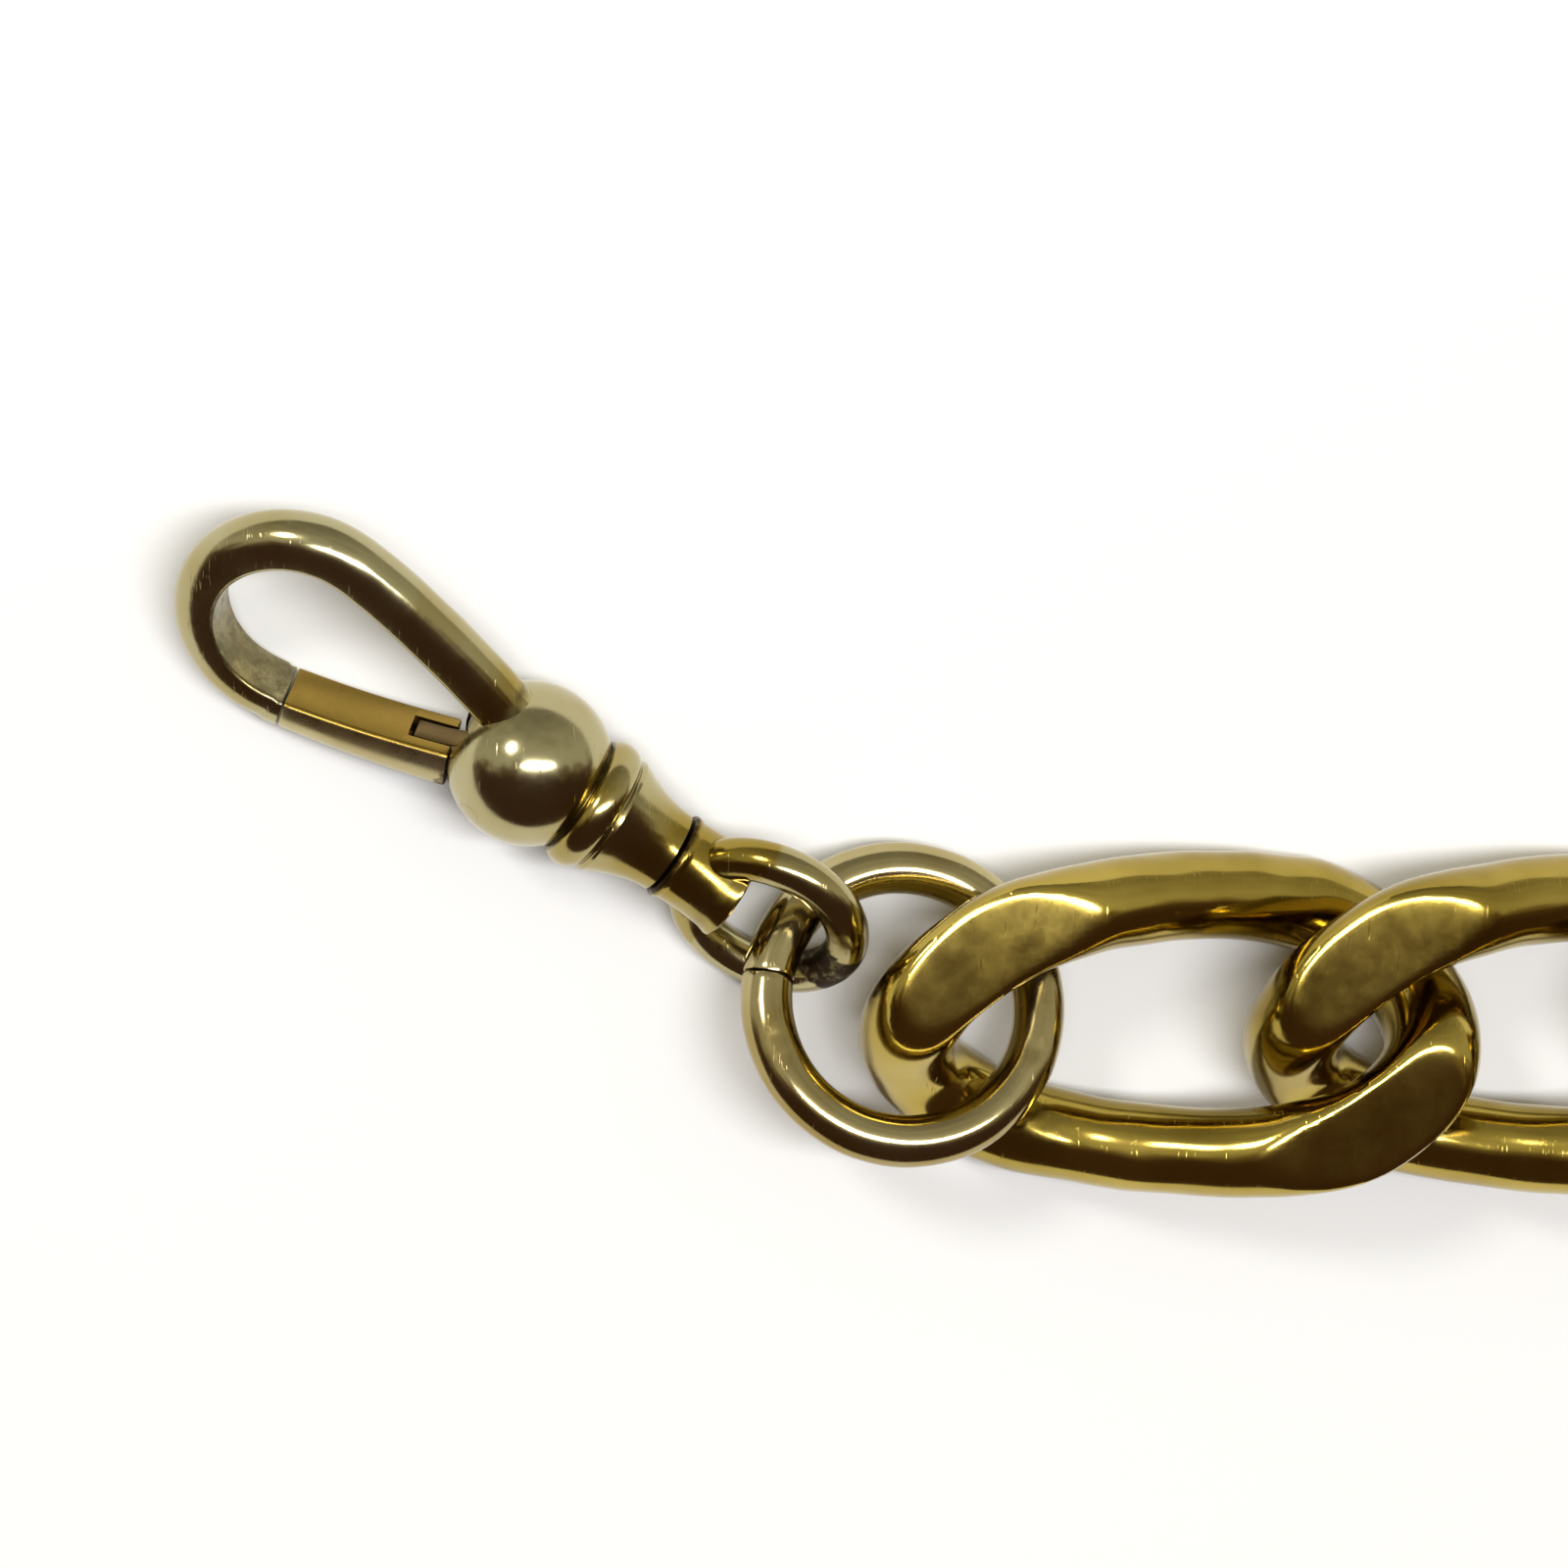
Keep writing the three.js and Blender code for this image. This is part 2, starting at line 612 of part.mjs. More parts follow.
export default chain;
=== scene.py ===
"""Pocket watch chain in gold plate: swivel clasp, jump rings, filed curb links and toggle bar."""
import json
import math

import bmesh
import bpy
from bpy.props import FloatProperty, FloatVectorProperty, PointerProperty
from mathutils import Matrix, Vector, geometry, noise

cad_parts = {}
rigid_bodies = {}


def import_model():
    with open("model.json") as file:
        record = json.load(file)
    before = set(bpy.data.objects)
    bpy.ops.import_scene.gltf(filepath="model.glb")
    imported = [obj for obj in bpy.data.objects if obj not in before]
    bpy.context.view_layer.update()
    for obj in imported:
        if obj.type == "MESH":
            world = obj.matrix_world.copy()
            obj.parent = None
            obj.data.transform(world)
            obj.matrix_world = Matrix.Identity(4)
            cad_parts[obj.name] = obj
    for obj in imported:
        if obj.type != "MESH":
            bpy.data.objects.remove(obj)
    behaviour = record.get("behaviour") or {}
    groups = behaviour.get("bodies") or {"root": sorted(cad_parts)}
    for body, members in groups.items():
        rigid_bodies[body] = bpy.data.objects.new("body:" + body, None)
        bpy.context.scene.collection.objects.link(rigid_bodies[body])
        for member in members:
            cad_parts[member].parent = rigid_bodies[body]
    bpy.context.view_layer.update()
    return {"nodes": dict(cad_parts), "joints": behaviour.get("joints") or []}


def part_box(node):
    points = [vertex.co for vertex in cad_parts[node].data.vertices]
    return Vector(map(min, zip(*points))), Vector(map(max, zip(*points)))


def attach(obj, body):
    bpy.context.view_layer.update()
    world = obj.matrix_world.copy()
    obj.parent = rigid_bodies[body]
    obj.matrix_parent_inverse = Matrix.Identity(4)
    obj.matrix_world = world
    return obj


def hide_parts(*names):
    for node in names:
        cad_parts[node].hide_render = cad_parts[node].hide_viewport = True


bl_info = {
    "name": "Pocket Watch Chain",
    "version": (1, 0, 0),
    "blender": (4, 5, 0),
    "location": "View3D > Sidebar > Watch Chain",
    "description": "Builds a gold-plated curb watch chain with its clasp and toggle bar",
    "category": "Add Mesh",
}

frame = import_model()
JOINTS = {joint["name"]: joint for joint in frame["joints"]}
LINKS = sorted(name for name in frame["nodes"] if name.startswith("link_"))
MM = 0.001  # metres in a millimetre


# ---- Places, read from the frame -----------------------------------------------------------

def middle(node):
    low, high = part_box(node)
    return (Vector(low) + Vector(high)) / 2


def axes(origin, x, z):
    """The place of a piece, in metres, from its origin, its X direction and its Z direction."""
    z = z.normalized()
    x = (x - z * x.dot(z)).normalized()
    turn = Matrix((x, z.cross(x), z)).transposed().to_4x4()
    return Matrix.Translation(origin) @ turn


def joint_point(name):
    return Vector(JOINTS[name]["pos_m"])


def joint_axis(name):
    return Vector(JOINTS[name]["axis"]).normalized()


def meeting(first, second):
    """Where two neighbouring links meet: the hinge between them."""
    pair = {first, second}
    for joint in JOINTS.values():
        if {joint["parent"], joint["child"]} == pair:
            return Vector(joint["pos_m"])
    raise ValueError(f"{first} and {second} don't meet")


def link_place(name):
    """A link's middle, with X along the chain away from the clasp."""
    number = LINKS.index(name)
    if number + 1 < len(LINKS):
        along = meeting(name, LINKS[number + 1]) - middle(name)
    else:
        along = middle(name) - meeting(LINKS[number - 1], name)
    return axes(middle(name), along, Vector((0, 0, 1)))


def ring_place(joint, link, towards_clasp):
    """A jump ring's middle, with Z along its own axis."""
    side = link_place(link).col[1].to_3d()
    if not towards_clasp:
        side = -side
    normal = joint_axis(joint)
    return axes(joint_point(joint), side.cross(normal), normal)


def clasp_place():
    """The middle of the ball, with X along the swivel's axis and Z square to the hook."""
    along = joint_axis("swivel")
    origin = joint_point("swivel") - along * COLLAR_START * MM
    return axes(origin, along, -joint_axis("gate_open"))


def hook_place():
    """The hook is bent up a little from the clasp's line, so that its crook lies on the table."""
    place = clasp_place()
    level = Vector((0, 0, 1)).cross(place.col[0].to_3d()).normalized()
    about = Matrix.Translation(place.translation)
    return about @ Matrix.Rotation(HOOK_BENT, 4, level) @ about.inverted() @ place


# ---- Sizes that the pieces share, in millimetres --------------------------------------------

GAP = 0.3
BALL_RADIUS = 2.68
BALL_FLAT = 2.5
BEAD_START = 1.9
BEAD_END = 3.0
BEAD_RADIUS = 2.25
BELL_RADIUS = 2.0
BELL_END_RADIUS = 1.4
HEAD_END = 5.4
COLLAR_START = HEAD_END + GAP
COLLAR_END = COLLAR_START + 1.95
EYE_CENTRE = COLLAR_END + 1.65
COLLAR_GAP_CLOSED = 0.21
EYE_ROLL = math.radians(48)
CLASP_ROLL = math.radians(37)
HOOK_BENT = math.radians(1.75)
CROOK_RADIUS = 3.2
CROOK_CENTRE = 8.65
CROOK_END = 7.95
SEAM = 7.4
SEAM_GAP = 0.07
ARM_WIDTH = 2.0
ARM_DEPTH = 1.5
ARM_INNER = 0.55
ARM_ROOT = 1.3
CROOK_DROP = 0.1
GATE_TIP_HEIGHT = -math.sqrt(CROOK_RADIUS ** 2 - (CROOK_CENTRE - CROOK_END) ** 2) - CROOK_DROP
GATE_LOW = 1.28
GATE_SHOULDER = 2.2
GATE_BOW = 0.12
GATE_FLARE = 0.25
SLOT_LENGTH = 1.55
PIN = Vector((-0.9, -1.3, 0))
PIN_RADIUS = 0.36
NOTCH_HALF = 1.13


# ---- Mesh helpers ---------------------------------------------------------------------------

def outline_edges(bm, points, closed):
    """A chain of edges through points in the XY plane."""
    verts = [bm.verts.new((x, y, 0)) for x, y in points]
    edges = [bm.edges.new(pair) for pair in zip(verts, verts[1:])]
    if closed:
        edges.append(bm.edges.new((verts[-1], verts[0])))
    return edges


def circle_edges(bm, radius, sides):
    made = bmesh.ops.create_circle(bm, cap_ends=False, radius=radius, segments=sides)
    return list({edge for vert in made["verts"] for edge in vert.link_edges})


def sweep(bm, edges, places, closed=False):
    """Extrudes a section, drawn in XY, through the places; Z of a place is the way on."""
    verts = list({vert for edge in edges for vert in edge.verts})
    bmesh.ops.transform(bm, matrix=places[0], verts=verts)
    first = edges
    for last, here in zip(places, places[1:]):
        made = bmesh.ops.extrude_edge_only(bm, edges=edges)["geom"]
        edges = [item for item in made if isinstance(item, bmesh.types.BMEdge)]
        verts = [item for item in made if isinstance(item, bmesh.types.BMVert)]
        bmesh.ops.transform(bm, matrix=here @ last.inverted(), verts=verts)
    if closed:
        bmesh.ops.bridge_loops(bm, edges=first + edges)
    else:
        bmesh.ops.holes_fill(bm, edges=first + edges, sides=0)
    bmesh.ops.recalc_face_normals(bm, faces=bm.faces)


def turned(profile, steps=72):
    """A body turned about X, from (place along X, radius) pairs."""
    bm = bmesh.new()
    edges = outline_edges(bm, profile, closed=profile[0] == profile[-1])
    verts = list({vert for edge in edges for vert in edge.verts})
    bmesh.ops.spin(
        bm, geom=verts + edges, cent=(0, 0, 0), axis=(1, 0, 0), angle=math.tau, steps=steps,
        use_merge=True,
    )
    tidy(bm)
    return bm


def tidy(bm):
    bmesh.ops.remove_doubles(bm, verts=bm.verts, dist=1e-4)
    bmesh.ops.dissolve_degenerate(bm, edges=bm.edges, dist=1e-5)
    bmesh.ops.recalc_face_normals(bm, faces=bm.faces)


def torus(radius, wire, steps=96, sides=28, start=0.0, sweep_angle=math.tau):
    """A bent wire about Z; a full turn closes on itself."""
    bm = bmesh.new()
    edges = circle_edges(bm, wire / 2, sides)
    verts = list({vert for edge in edges for vert in edge.verts})
    upright = Matrix.Rotation(math.pi / 2, 4, "X")
    place = Matrix.Rotation(start, 4, "Z") @ Matrix.Translation((radius, 0, 0)) @ upright
    bmesh.ops.transform(bm, matrix=place, verts=verts)
    whole = sweep_angle >= math.tau
    spun = bmesh.ops.spin(
        bm, geom=verts + edges, cent=(0, 0, 0), axis=(0, 0, 1), angle=sweep_angle,
        steps=steps, use_merge=whole,
    )
    if not whole:
        last = [item for item in spun["geom_last"] if isinstance(item, bmesh.types.BMEdge)]
        bmesh.ops.holes_fill(bm, edges=edges + last, sides=0)
    tidy(bm)
    return bm


def block(low, high):
    bm = bmesh.new()
    size = [b - a for a, b in zip(low, high)]
    centre = [(a + b) / 2 for a, b in zip(low, high)]
    place = Matrix.Translation(centre) @ Matrix.Diagonal((*size, 1))
    bmesh.ops.create_cube(bm, size=1, matrix=place)
    return bm


def plate(points, width, soften=0.0):
    """A flat plate with an outline in XY, centred on z = 0, its edges softened."""
    bm = bmesh.new()
    outline_edges(bm, points, closed=True)
    bmesh.ops.contextual_create(bm, geom=bm.edges)
    made = bmesh.ops.extrude_face_region(bm, geom=bm.faces)["geom"]
    top = [item for item in made if isinstance(item, bmesh.types.BMVert)]
    bmesh.ops.translate(bm, vec=(0, 0, width), verts=top)
    bmesh.ops.translate(bm, vec=(0, 0, -width / 2), verts=bm.verts)
    bmesh.ops.recalc_face_normals(bm, faces=bm.faces)
    if soften:
        soften_edges(bm, soften)
    return bm


def soften_edges(bm, offset, angle=math.radians(40), segments=2):
    edges = [
        edge for edge in bm.edges
        if len(edge.link_faces) == 2 and edge.calc_face_angle(0) > angle
    ]
    bmesh.ops.bevel(
        bm, geom=edges, offset=offset, offset_type="OFFSET", segments=segments, profile=0.5,
        affect="EDGES", clamp_overlap=True, material=-1,
    )


def rod(low, high, radius, steps=32, chamfer=0.05):
    return turned([
        (low, 0), (low, radius - chamfer), (low + chamfer, radius),
        (high - chamfer, radius), (high, radius - chamfer), (high, 0),
    ], steps)


def cross_rod(centre, radius, length, steps=32, chamfer=0.05):
    """A rod along Z through a point."""
    bm = rod(-length / 2, length / 2, radius, steps, chamfer)
    turn = Matrix.Translation(centre) @ Matrix.Rotation(math.pi / 2, 4, "Y")
    bmesh.ops.transform(bm, matrix=turn, verts=bm.verts)
    return bm


def combined(bm, tool, operation):
    """Cuts a mesh with a tool, or welds the tool to it."""
    objects = []
    for source in (bm, tool):
        mesh = bpy.data.meshes.new("blank")
        source.to_mesh(mesh)
        source.free()
        obj = bpy.data.objects.new("blank", mesh)
        bpy.context.scene.collection.objects.link(obj)
        objects.append(obj)
    body, cutter = objects
    modifier = body.modifiers.new("cut", "BOOLEAN")
    modifier.object = cutter
    modifier.operation = operation
    modifier.solver = "EXACT"
    graph = bpy.context.evaluated_depsgraph_get()
    result = bpy.data.meshes.new_from_object(body.evaluated_get(graph))
    out = bmesh.new()
    out.from_mesh(result)
    for obj in objects:
        mesh = obj.data
        bpy.data.objects.remove(obj)
        bpy.data.meshes.remove(mesh)
    bpy.data.meshes.remove(result)
    bmesh.ops.remove_doubles(out, verts=out.verts, dist=1e-4)
    return out


def hand_worked(bm, amount, size, seed):
    """Moves the surface in and out a little, as handwork and wear leave it."""
    bm.normal_update()
    shift = Vector((seed * 7.3, seed * 3.1, seed * 5.7))
    for vert in bm.verts:
        vert.co += vert.normal * amount * noise.noise(vert.co / size + shift)


def add_piece(bm, name, place, finish, body, nodes, crevice_shade_and_dirt=None, sharp=35, tone_and_shade=None):
    """Makes the object: its place in its mesh, its finish, its body and what it stands for.

    The two optional functions of a point give the painted shade in crevices and between
    parts, with dirt round a link's solder, and the plate's toning; a piece without its own
    toning function gets painted shade on its sides: what faces across its own Z axis takes
    the deep colour, what faces along it the bright one.
    """
    shade_and_dirt_mask = bm.verts.layers.float.new("crevice_shade_and_dirt")
    toning_and_side_shade = bm.verts.layers.float.new("toning_and_side_shade")
    bm.normal_update()
    # Painted shade: the first layer holds shade in crevices and between parts, with dirt round a
    # link's solder; the second holds the piece's toning, and where a piece has none, painted shade
    # on whatever faces across its Z axis.
    for vert in bm.verts:
        vert[shade_and_dirt_mask] = crevice_shade_and_dirt(vert.co) if crevice_shade_and_dirt else 0.0
        vert[toning_and_side_shade] = tone_and_shade(vert.co) if tone_and_shade else max(0.0, 1 - abs(vert.normal.z) * 1.3)
    bmesh.ops.transform(bm, matrix=place @ Matrix.Scale(MM, 4), verts=bm.verts)
    mesh = bpy.data.meshes.new(name)
    bm.to_mesh(mesh)
    bm.free()
    mesh.materials.append(finish)
    mesh.shade_smooth()
    mesh.set_sharp_from_angle(angle=math.radians(sharp))
    obj = bpy.data.objects.new(name, mesh)
    bpy.context.scene.collection.objects.link(obj)
    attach(obj, body)
    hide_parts(*nodes)
    return obj


# ---- Finishes -------------------------------------------------------------------------------

def linear(code):
    """An sRGB hex colour as linear RGBA."""
    values = [int(code[i:i + 2], 16) / 255 for i in (0, 2, 4)]
    return tuple(v / 12.92 if v <= 0.04045 else ((v + 0.055) / 1.055) ** 2.4 for v in values) + (1,)


def add_node(tree, kind, inputs=None, **settings):
    """Adds a node; an input is a value or another node's output."""
    node = tree.nodes.new(kind)
    for key, value in settings.items():
        setattr(node, key, value)
    for key, value in (inputs or {}).items():
        if isinstance(value, bpy.types.NodeSocket):
            tree.links.new(value, node.inputs[key])
        else:
            node.inputs[key].default_value = value
    return node


def plated_metal(name, bright, deep, worn, roughness, scratch_depth, tone_share=0.9, wave=0.012):
    """Electroplate over a base metal, polished and handled.

    bright and deep are the plate's two colours. A piece's toning attribute, with the weight
    tone_share, and random patches lay on deep; on some pieces that attribute is real toning,
    on the rest it is painted shade on their sides. worn is the colour of the painted shade in
    corners and between parts, and of dirt round a link's solder, which the piece's other
    attribute gives. Scratches and the buff's waves have their depth in
    millimetres, and the scratches are drawn as coarse as the view can show.
    """
    finish = bpy.data.materials.new(name)
    finish.use_nodes = True
    tree = finish.node_tree
    tree.nodes.clear()
    place = add_node(tree, "ShaderNodeTexCoord").outputs["Object"]
    toning_and_side_shade = add_node(tree, "ShaderNodeTexNoise", {
        "Vector": place, "Scale": 1 / (5.0 * MM), "Detail": 3.0, "Roughness": 0.55,
    })
    patches = add_node(tree, "ShaderNodeMapRange", {
        "Value": toning_and_side_shade.outputs["Fac"], "From Min": 0.4, "From Max": 0.78,
    })
    # Toning: real toning from the piece, painted shade on the sides of most pieces, and random
    # patches.
    kept = add_node(tree, "ShaderNodeAttribute", attribute_name="toning_and_side_shade")
    tone_and_shade = add_node(tree, "ShaderNodeMath", {
        0: kept.outputs["Fac"], 1: tone_share, 2: patches.outputs["Result"],
    }, operation="MULTIPLY_ADD", use_clamp=True)
    plate_colour = add_node(tree, "ShaderNodeMix", {
        "Factor": tone_and_shade.outputs["Value"], "A": linear(bright), "B": linear(deep),
    }, data_type="RGBA")
    # Painted shade in corners and between parts, with dirt round a link's solder: speckled, it lays
    # on the dark colour and dulls the surface.
    corners = add_node(tree, "ShaderNodeAttribute", attribute_name="crevice_shade_and_dirt")
    speckle = add_node(tree, "ShaderNodeTexNoise", {
        "Vector": place, "Scale": 1 / (0.5 * MM), "Detail": 4.0, "Roughness": 0.7,
    })
    spread = add_node(tree, "ShaderNodeMath", {
        0: corners.outputs["Fac"], 1: speckle.outputs["Fac"],
    }, operation="MULTIPLY")
    shade_and_dirt_mask = add_node(tree, "ShaderNodeMapRange", {
        "Value": spread.outputs["Value"], "From Min": 0.12, "From Max": 0.5,
    })
    colour = add_node(tree, "ShaderNodeMix", {
        "Factor": shade_and_dirt_mask.outputs["Result"], "A": plate_colour.outputs["Result"],
        "B": linear(worn),
    }, data_type="RGBA")
    haze = add_node(tree, "ShaderNodeTexNoise", {
        "Vector": place, "Scale": 1 / (1.1 * MM), "Detail": 5.0, "Roughness": 0.65,
    })
    dullness = add_node(tree, "ShaderNodeMapRange", {
        "Value": haze.outputs["Fac"], "From Min": 0.3, "From Max": 0.75,
        "To Min": roughness * 0.85, "To Max": roughness * 1.25,
    })
    dull = add_node(tree, "ShaderNodeMath", {
        0: shade_and_dirt_mask.outputs["Result"], 1: 0.3, 2: dullness.outputs["Result"],
    }, operation="MULTIPLY_ADD")
    marks = []
    for turn, fine in ((0.6, 0.05), (-0.9, 0.07)):
        along = add_node(tree, "ShaderNodeMapping", {
            "Vector": place, "Rotation": (0.2, 0.35, turn),
            "Scale": (1 / (fine * MM), 1 / (1.6 * MM), 1 / (0.4 * MM)),
        })
        lines = add_node(tree, "ShaderNodeTexNoise", {
            "Vector": along.outputs["Vector"], "Scale": 1.0, "Detail": 2.0,
        })
        marks.append(add_node(tree, "ShaderNodeMapRange", {
            "Value": lines.outputs["Fac"], "From Min": 0.68, "From Max": 0.78,
        }).outputs["Result"])
    scratches = add_node(tree, "ShaderNodeMath", {0: marks[0], 1: marks[1]}, operation="ADD")
    scratched = add_node(tree, "ShaderNodeBump", {
        "Height": scratches.outputs["Value"], "Strength": 0.3,
        "Distance": scratch_depth * MM,
    }, invert=True)
    ripple = add_node(tree, "ShaderNodeTexNoise", {
        "Vector": place, "Scale": 1 / (0.9 * MM), "Detail": 2.0,
    })
    surface = add_node(tree, "ShaderNodeBump", {
        "Height": ripple.outputs["Fac"], "Strength": 0.2, "Distance": wave * MM,
        "Normal": scratched.outputs["Normal"],
    })
    shader = add_node(tree, "ShaderNodeBsdfPrincipled", {
        "Base Color": colour.outputs["Result"], "Metallic": 1.0,
        "Roughness": dull.outputs["Value"], "Normal": surface.outputs["Normal"],
    })
    add_node(tree, "ShaderNodeOutputMaterial", {"Surface": shader.outputs["BSDF"]})
    return finish


def finish_named(name, make):
    """A finish that several pieces share is made once."""
    return bpy.data.materials.get(name) or make()


def link_gold():
    # Heavy rolled gold on brass, buffed: deep yellow, with painted shade in browner gold on the
    # sides of the links, random patches of brown toning, and painted shade in dark brown in the
    # corners.
    return finish_named("rolled_gold_buffed", lambda: plated_metal(
        "rolled_gold_buffed", "BFA853", "937D30", "36260C", 0.13, 0.016, 0.8, 0.007))


def clasp_gold():
    # Gilt nickel silver, worn: a pale champagne where the thin gold has gone.
    return finish_named("gilt_nickel_silver_worn", lambda: plated_metal(
        "gilt_nickel_silver_worn", "B4AB82", "9C863A", "33230E", 0.15, 0.016, 0.5, 0.05))


def ring_gold():
    # Drawn nickel-silver wire with a thin gilding: pale on the ring's two faces, with painted shade
    # in darker gold round its inner and outer edges.
    return finish_named("gilt_drawn_wire", lambda: plated_metal(
        "gilt_drawn_wire", "BBAE80", "9A8344", "392715", 0.14, 0.016, 0.8, 0.015))


def gate_gold():
    # Gilt nickel silver, rubbed pale outside: still yellow on the flat that the hook shelters.
    return finish_named("gilt_sheltered", lambda: plated_metal(
        "gilt_sheltered", "C2B78C", "9C803A", "33210E", 0.28, 0.008, 1.0))


def spring_steel():
    # Spring strip whose blueing has gone: dull and brownish, a little like brass.
    return finish_named("spring_strip_browned", lambda: plated_metal(
        "spring_strip_browned", "A8946A", "75603C", "23160A", 0.3, 0.01))


# ---- Settings -------------------------------------------------------------------------------

class WatchChainLinkSettings(bpy.types.PropertyGroup):
    wire: FloatProperty(
        name="Wire", description="Thickness of a link's wire", default=3.2 * MM, unit="LENGTH",
        precision=4)
    inner_length: FloatProperty(
        name="Inner length", description="Length of the opening in a link",
        default=14.3 * MM, unit="LENGTH", precision=4)
    inner_width: FloatProperty(
        name="Inner width", description="Width of the opening in a link",
        default=5.0 * MM, unit="LENGTH", precision=4)
    twist: FloatProperty(
        name="Twist", description="How far each end is turned from the middle",
        default=math.radians(48), subtype="ANGLE")
    filed: FloatProperty(
        name="Filed depth", description="Metal filed off the top and the underside",
        default=0.67 * MM, unit="LENGTH", precision=4)


class WatchChainRingSettings(bpy.types.PropertyGroup):
    radius: FloatProperty(
        name="Ring radius", description="Radius of a jump ring to the middle of its wire",
        default=4.52 * MM, unit="LENGTH", precision=4)
    wire: FloatProperty(
        name="Ring wire", description="Thickness of a jump ring's wire",
        default=1.7 * MM, unit="LENGTH", precision=4)
    seam: FloatProperty(
        name="Seam", description="Width of the butt joint in a jump ring",
        default=0.035 * MM, unit="LENGTH", precision=5)


class WatchChainStageSettings(bpy.types.PropertyGroup):
    floor_colour: FloatVectorProperty(
        name="Floor", description="Colour of the table", subtype="COLOR", size=3,
        default=(0.85, 0.85, 0.84), min=0, max=1)
    light: FloatProperty(
        name="Light", description="Strength of the two lights together", default=0.55, min=0)
    light_width: FloatProperty(
        name="Light width", description="Width of the large light", default=0.44,
        unit="LENGTH", min=0.01)


# ---- Curb links -----------------------------------------------------------------------------

LINK_STATIONS = 168  # sections along a link's wire
LINK_SIDES = 44  # sides of each section
FILED_RIM = 0.09  # how far the buff has rounded the edge of a flat
FAR_BELOW = 30.0  # rims below a flat, where the file changes nothing
FILED_MORE = 0.2  # metal worn off the top beyond the underside
FILED_CROWN = 0.006  # how fast the flats fall away from the middle, per millimetre
END_LIFT = 0.6  # how far the wire is bent up where it passes over the next link
END_LIFT_AT = math.radians(78)
END_LIFT_SPREAD = math.radians(32)
STRAND_SLIM = 0.09  # share by which the middle of each strand is thinner
STRAND_REACH = 4.2  # half the length of that thinner middle
SOLDER_PLACE = Vector((-4.3, -3.2, 0.4))
SOLDER_SIZE = 0.8
SOLDER_HEIGHT = 0.22


def curb_places(sizes, count):
    """Places along a link's wire: two straights and two half circles, twisted about X."""
    radius = (sizes.inner_width + sizes.wire) / 2 / MM
    half = (sizes.inner_length + sizes.wire) / 2 / MM
    straight = half - radius
    arc = math.pi * radius

    def flat(walked):
        walked %= 4 * straight + 2 * arc
        end = 1 if walked < 2 * straight + arc else -1
        along = walked if end > 0 else walked - 2 * straight - arc
        turn = max(0.0, (along - 2 * straight) / radius)
        run = min(along, 2 * straight)
        out = Vector((math.sin(turn), math.cos(turn), 0)) * end
        return Vector((end * (run - straight), 0, 0)) + out * radius, out

    def twisted(walked):
        point, out = flat(walked)
        turn = Matrix.Rotation(-sizes.twist * point.x / half, 3, "X")
        before_end = abs(point.x) > straight
        way = math.atan2(abs(point.x) - straight, -point.y * math.copysign(1, point.x))
        lift = END_LIFT * math.exp(-((way - END_LIFT_AT) / END_LIFT_SPREAD) ** 2) * before_end
        return turn @ point + Vector((0, 0, lift)), turn @ out

    total = 4 * straight + 2 * arc
    places = []
    for i in range(count):
        walked = total * i / count
        point, out = twisted(walked)
        step = 0.01
        ahead = (twisted(walked + step)[0] - twisted(walked - step)[0]).normalized()
        place = axes(point, Vector((out.x, out.y, 0)), ahead)
        slim = STRAND_SLIM * math.exp(-(point.x / STRAND_REACH) ** 4)
        shift = Matrix.Translation((slim * sizes.wire / MM / 2, 0, 0))
        places.append(place @ shift @ Matrix.Diagonal((1 - slim, 1 - slim / 2, 1, 1)))
    return places


def filed_flat(bm, below, above, rim):
    """Files a link flat above and below; the buff has rounded the rim and blended it in."""
    for vert in bm.verts:
        way = math.copysign(1, vert.co.z)
        height = (above if way > 0 else below) - FILED_CROWN * vert.co.y ** 2
        spare = (height - abs(vert.co.z)) / rim
        if spare < FAR_BELOW:
            vert.co.z = way * (height - rim * math.log1p(math.exp(spare)))


def solder(bm, centre, size, height, seed):
    """A small rough lump of solder."""
    bm.normal_update()
    shift = Vector((seed, seed * 2.3, seed * 0.7))
    for vert in bm.verts:
        near = math.exp(-((vert.co - centre).length / size) ** 2)
        if near > 0.01:
            lump = 0.45 + noise.noise(vert.co / 0.55 + shift)
            vert.co += vert.normal * height * near * lump


def link_shade_and_solder_dirt(co):
    """Painted shade on the inner side of a link's ends, where its neighbour passes through, and dirt
    round the solder.
    """
    inside = max(0.0, 1 - abs(Vector((co.x * 0.42, co.y)).length - 2.6) / 1.1) * 0.35
    ends = min(1.0, max(0.0, (abs(co.x) - 6.2) / 2.5))
    joint = math.exp(-((co - SOLDER_PLACE).length / 1.2) ** 2)
    return max(inside * ends, joint * 0.55)


class OBJECT_OT_watch_chain_links(bpy.types.Operator):
    """Make the curb links, filed flat above and below"""
    bl_idname = "object.watch_chain_links"
    bl_label = "Curb Links"

    def execute(self, context):
        sizes = context.scene.watch_chain_links
        places = curb_places(sizes, LINK_STATIONS)
        wire = sizes.wire / MM
        low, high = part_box(LINKS[0])
        half_height = (high[2] - low[2]) / 2 / MM
        for number, name in enumerate(LINKS):
            bm = bmesh.new()
            section = circle_edges(bm, wire / 2, LINK_SIDES)
            sweep(bm, section, places, closed=True)
            hand_worked(bm, 0.05, 1.7, number + 1)
            filed_flat(bm, half_height, half_height - FILED_MORE, FILED_RIM)
            solder(bm, SOLDER_PLACE, SOLDER_SIZE, SOLDER_HEIGHT, number + 1)
            add_piece(
                bm, f"curb_{name}", link_place(name), link_gold(), name, [name],
                link_shade_and_solder_dirt)
        return {"FINISHED"}


# ---- Jump rings -----------------------------------------------------------------------------

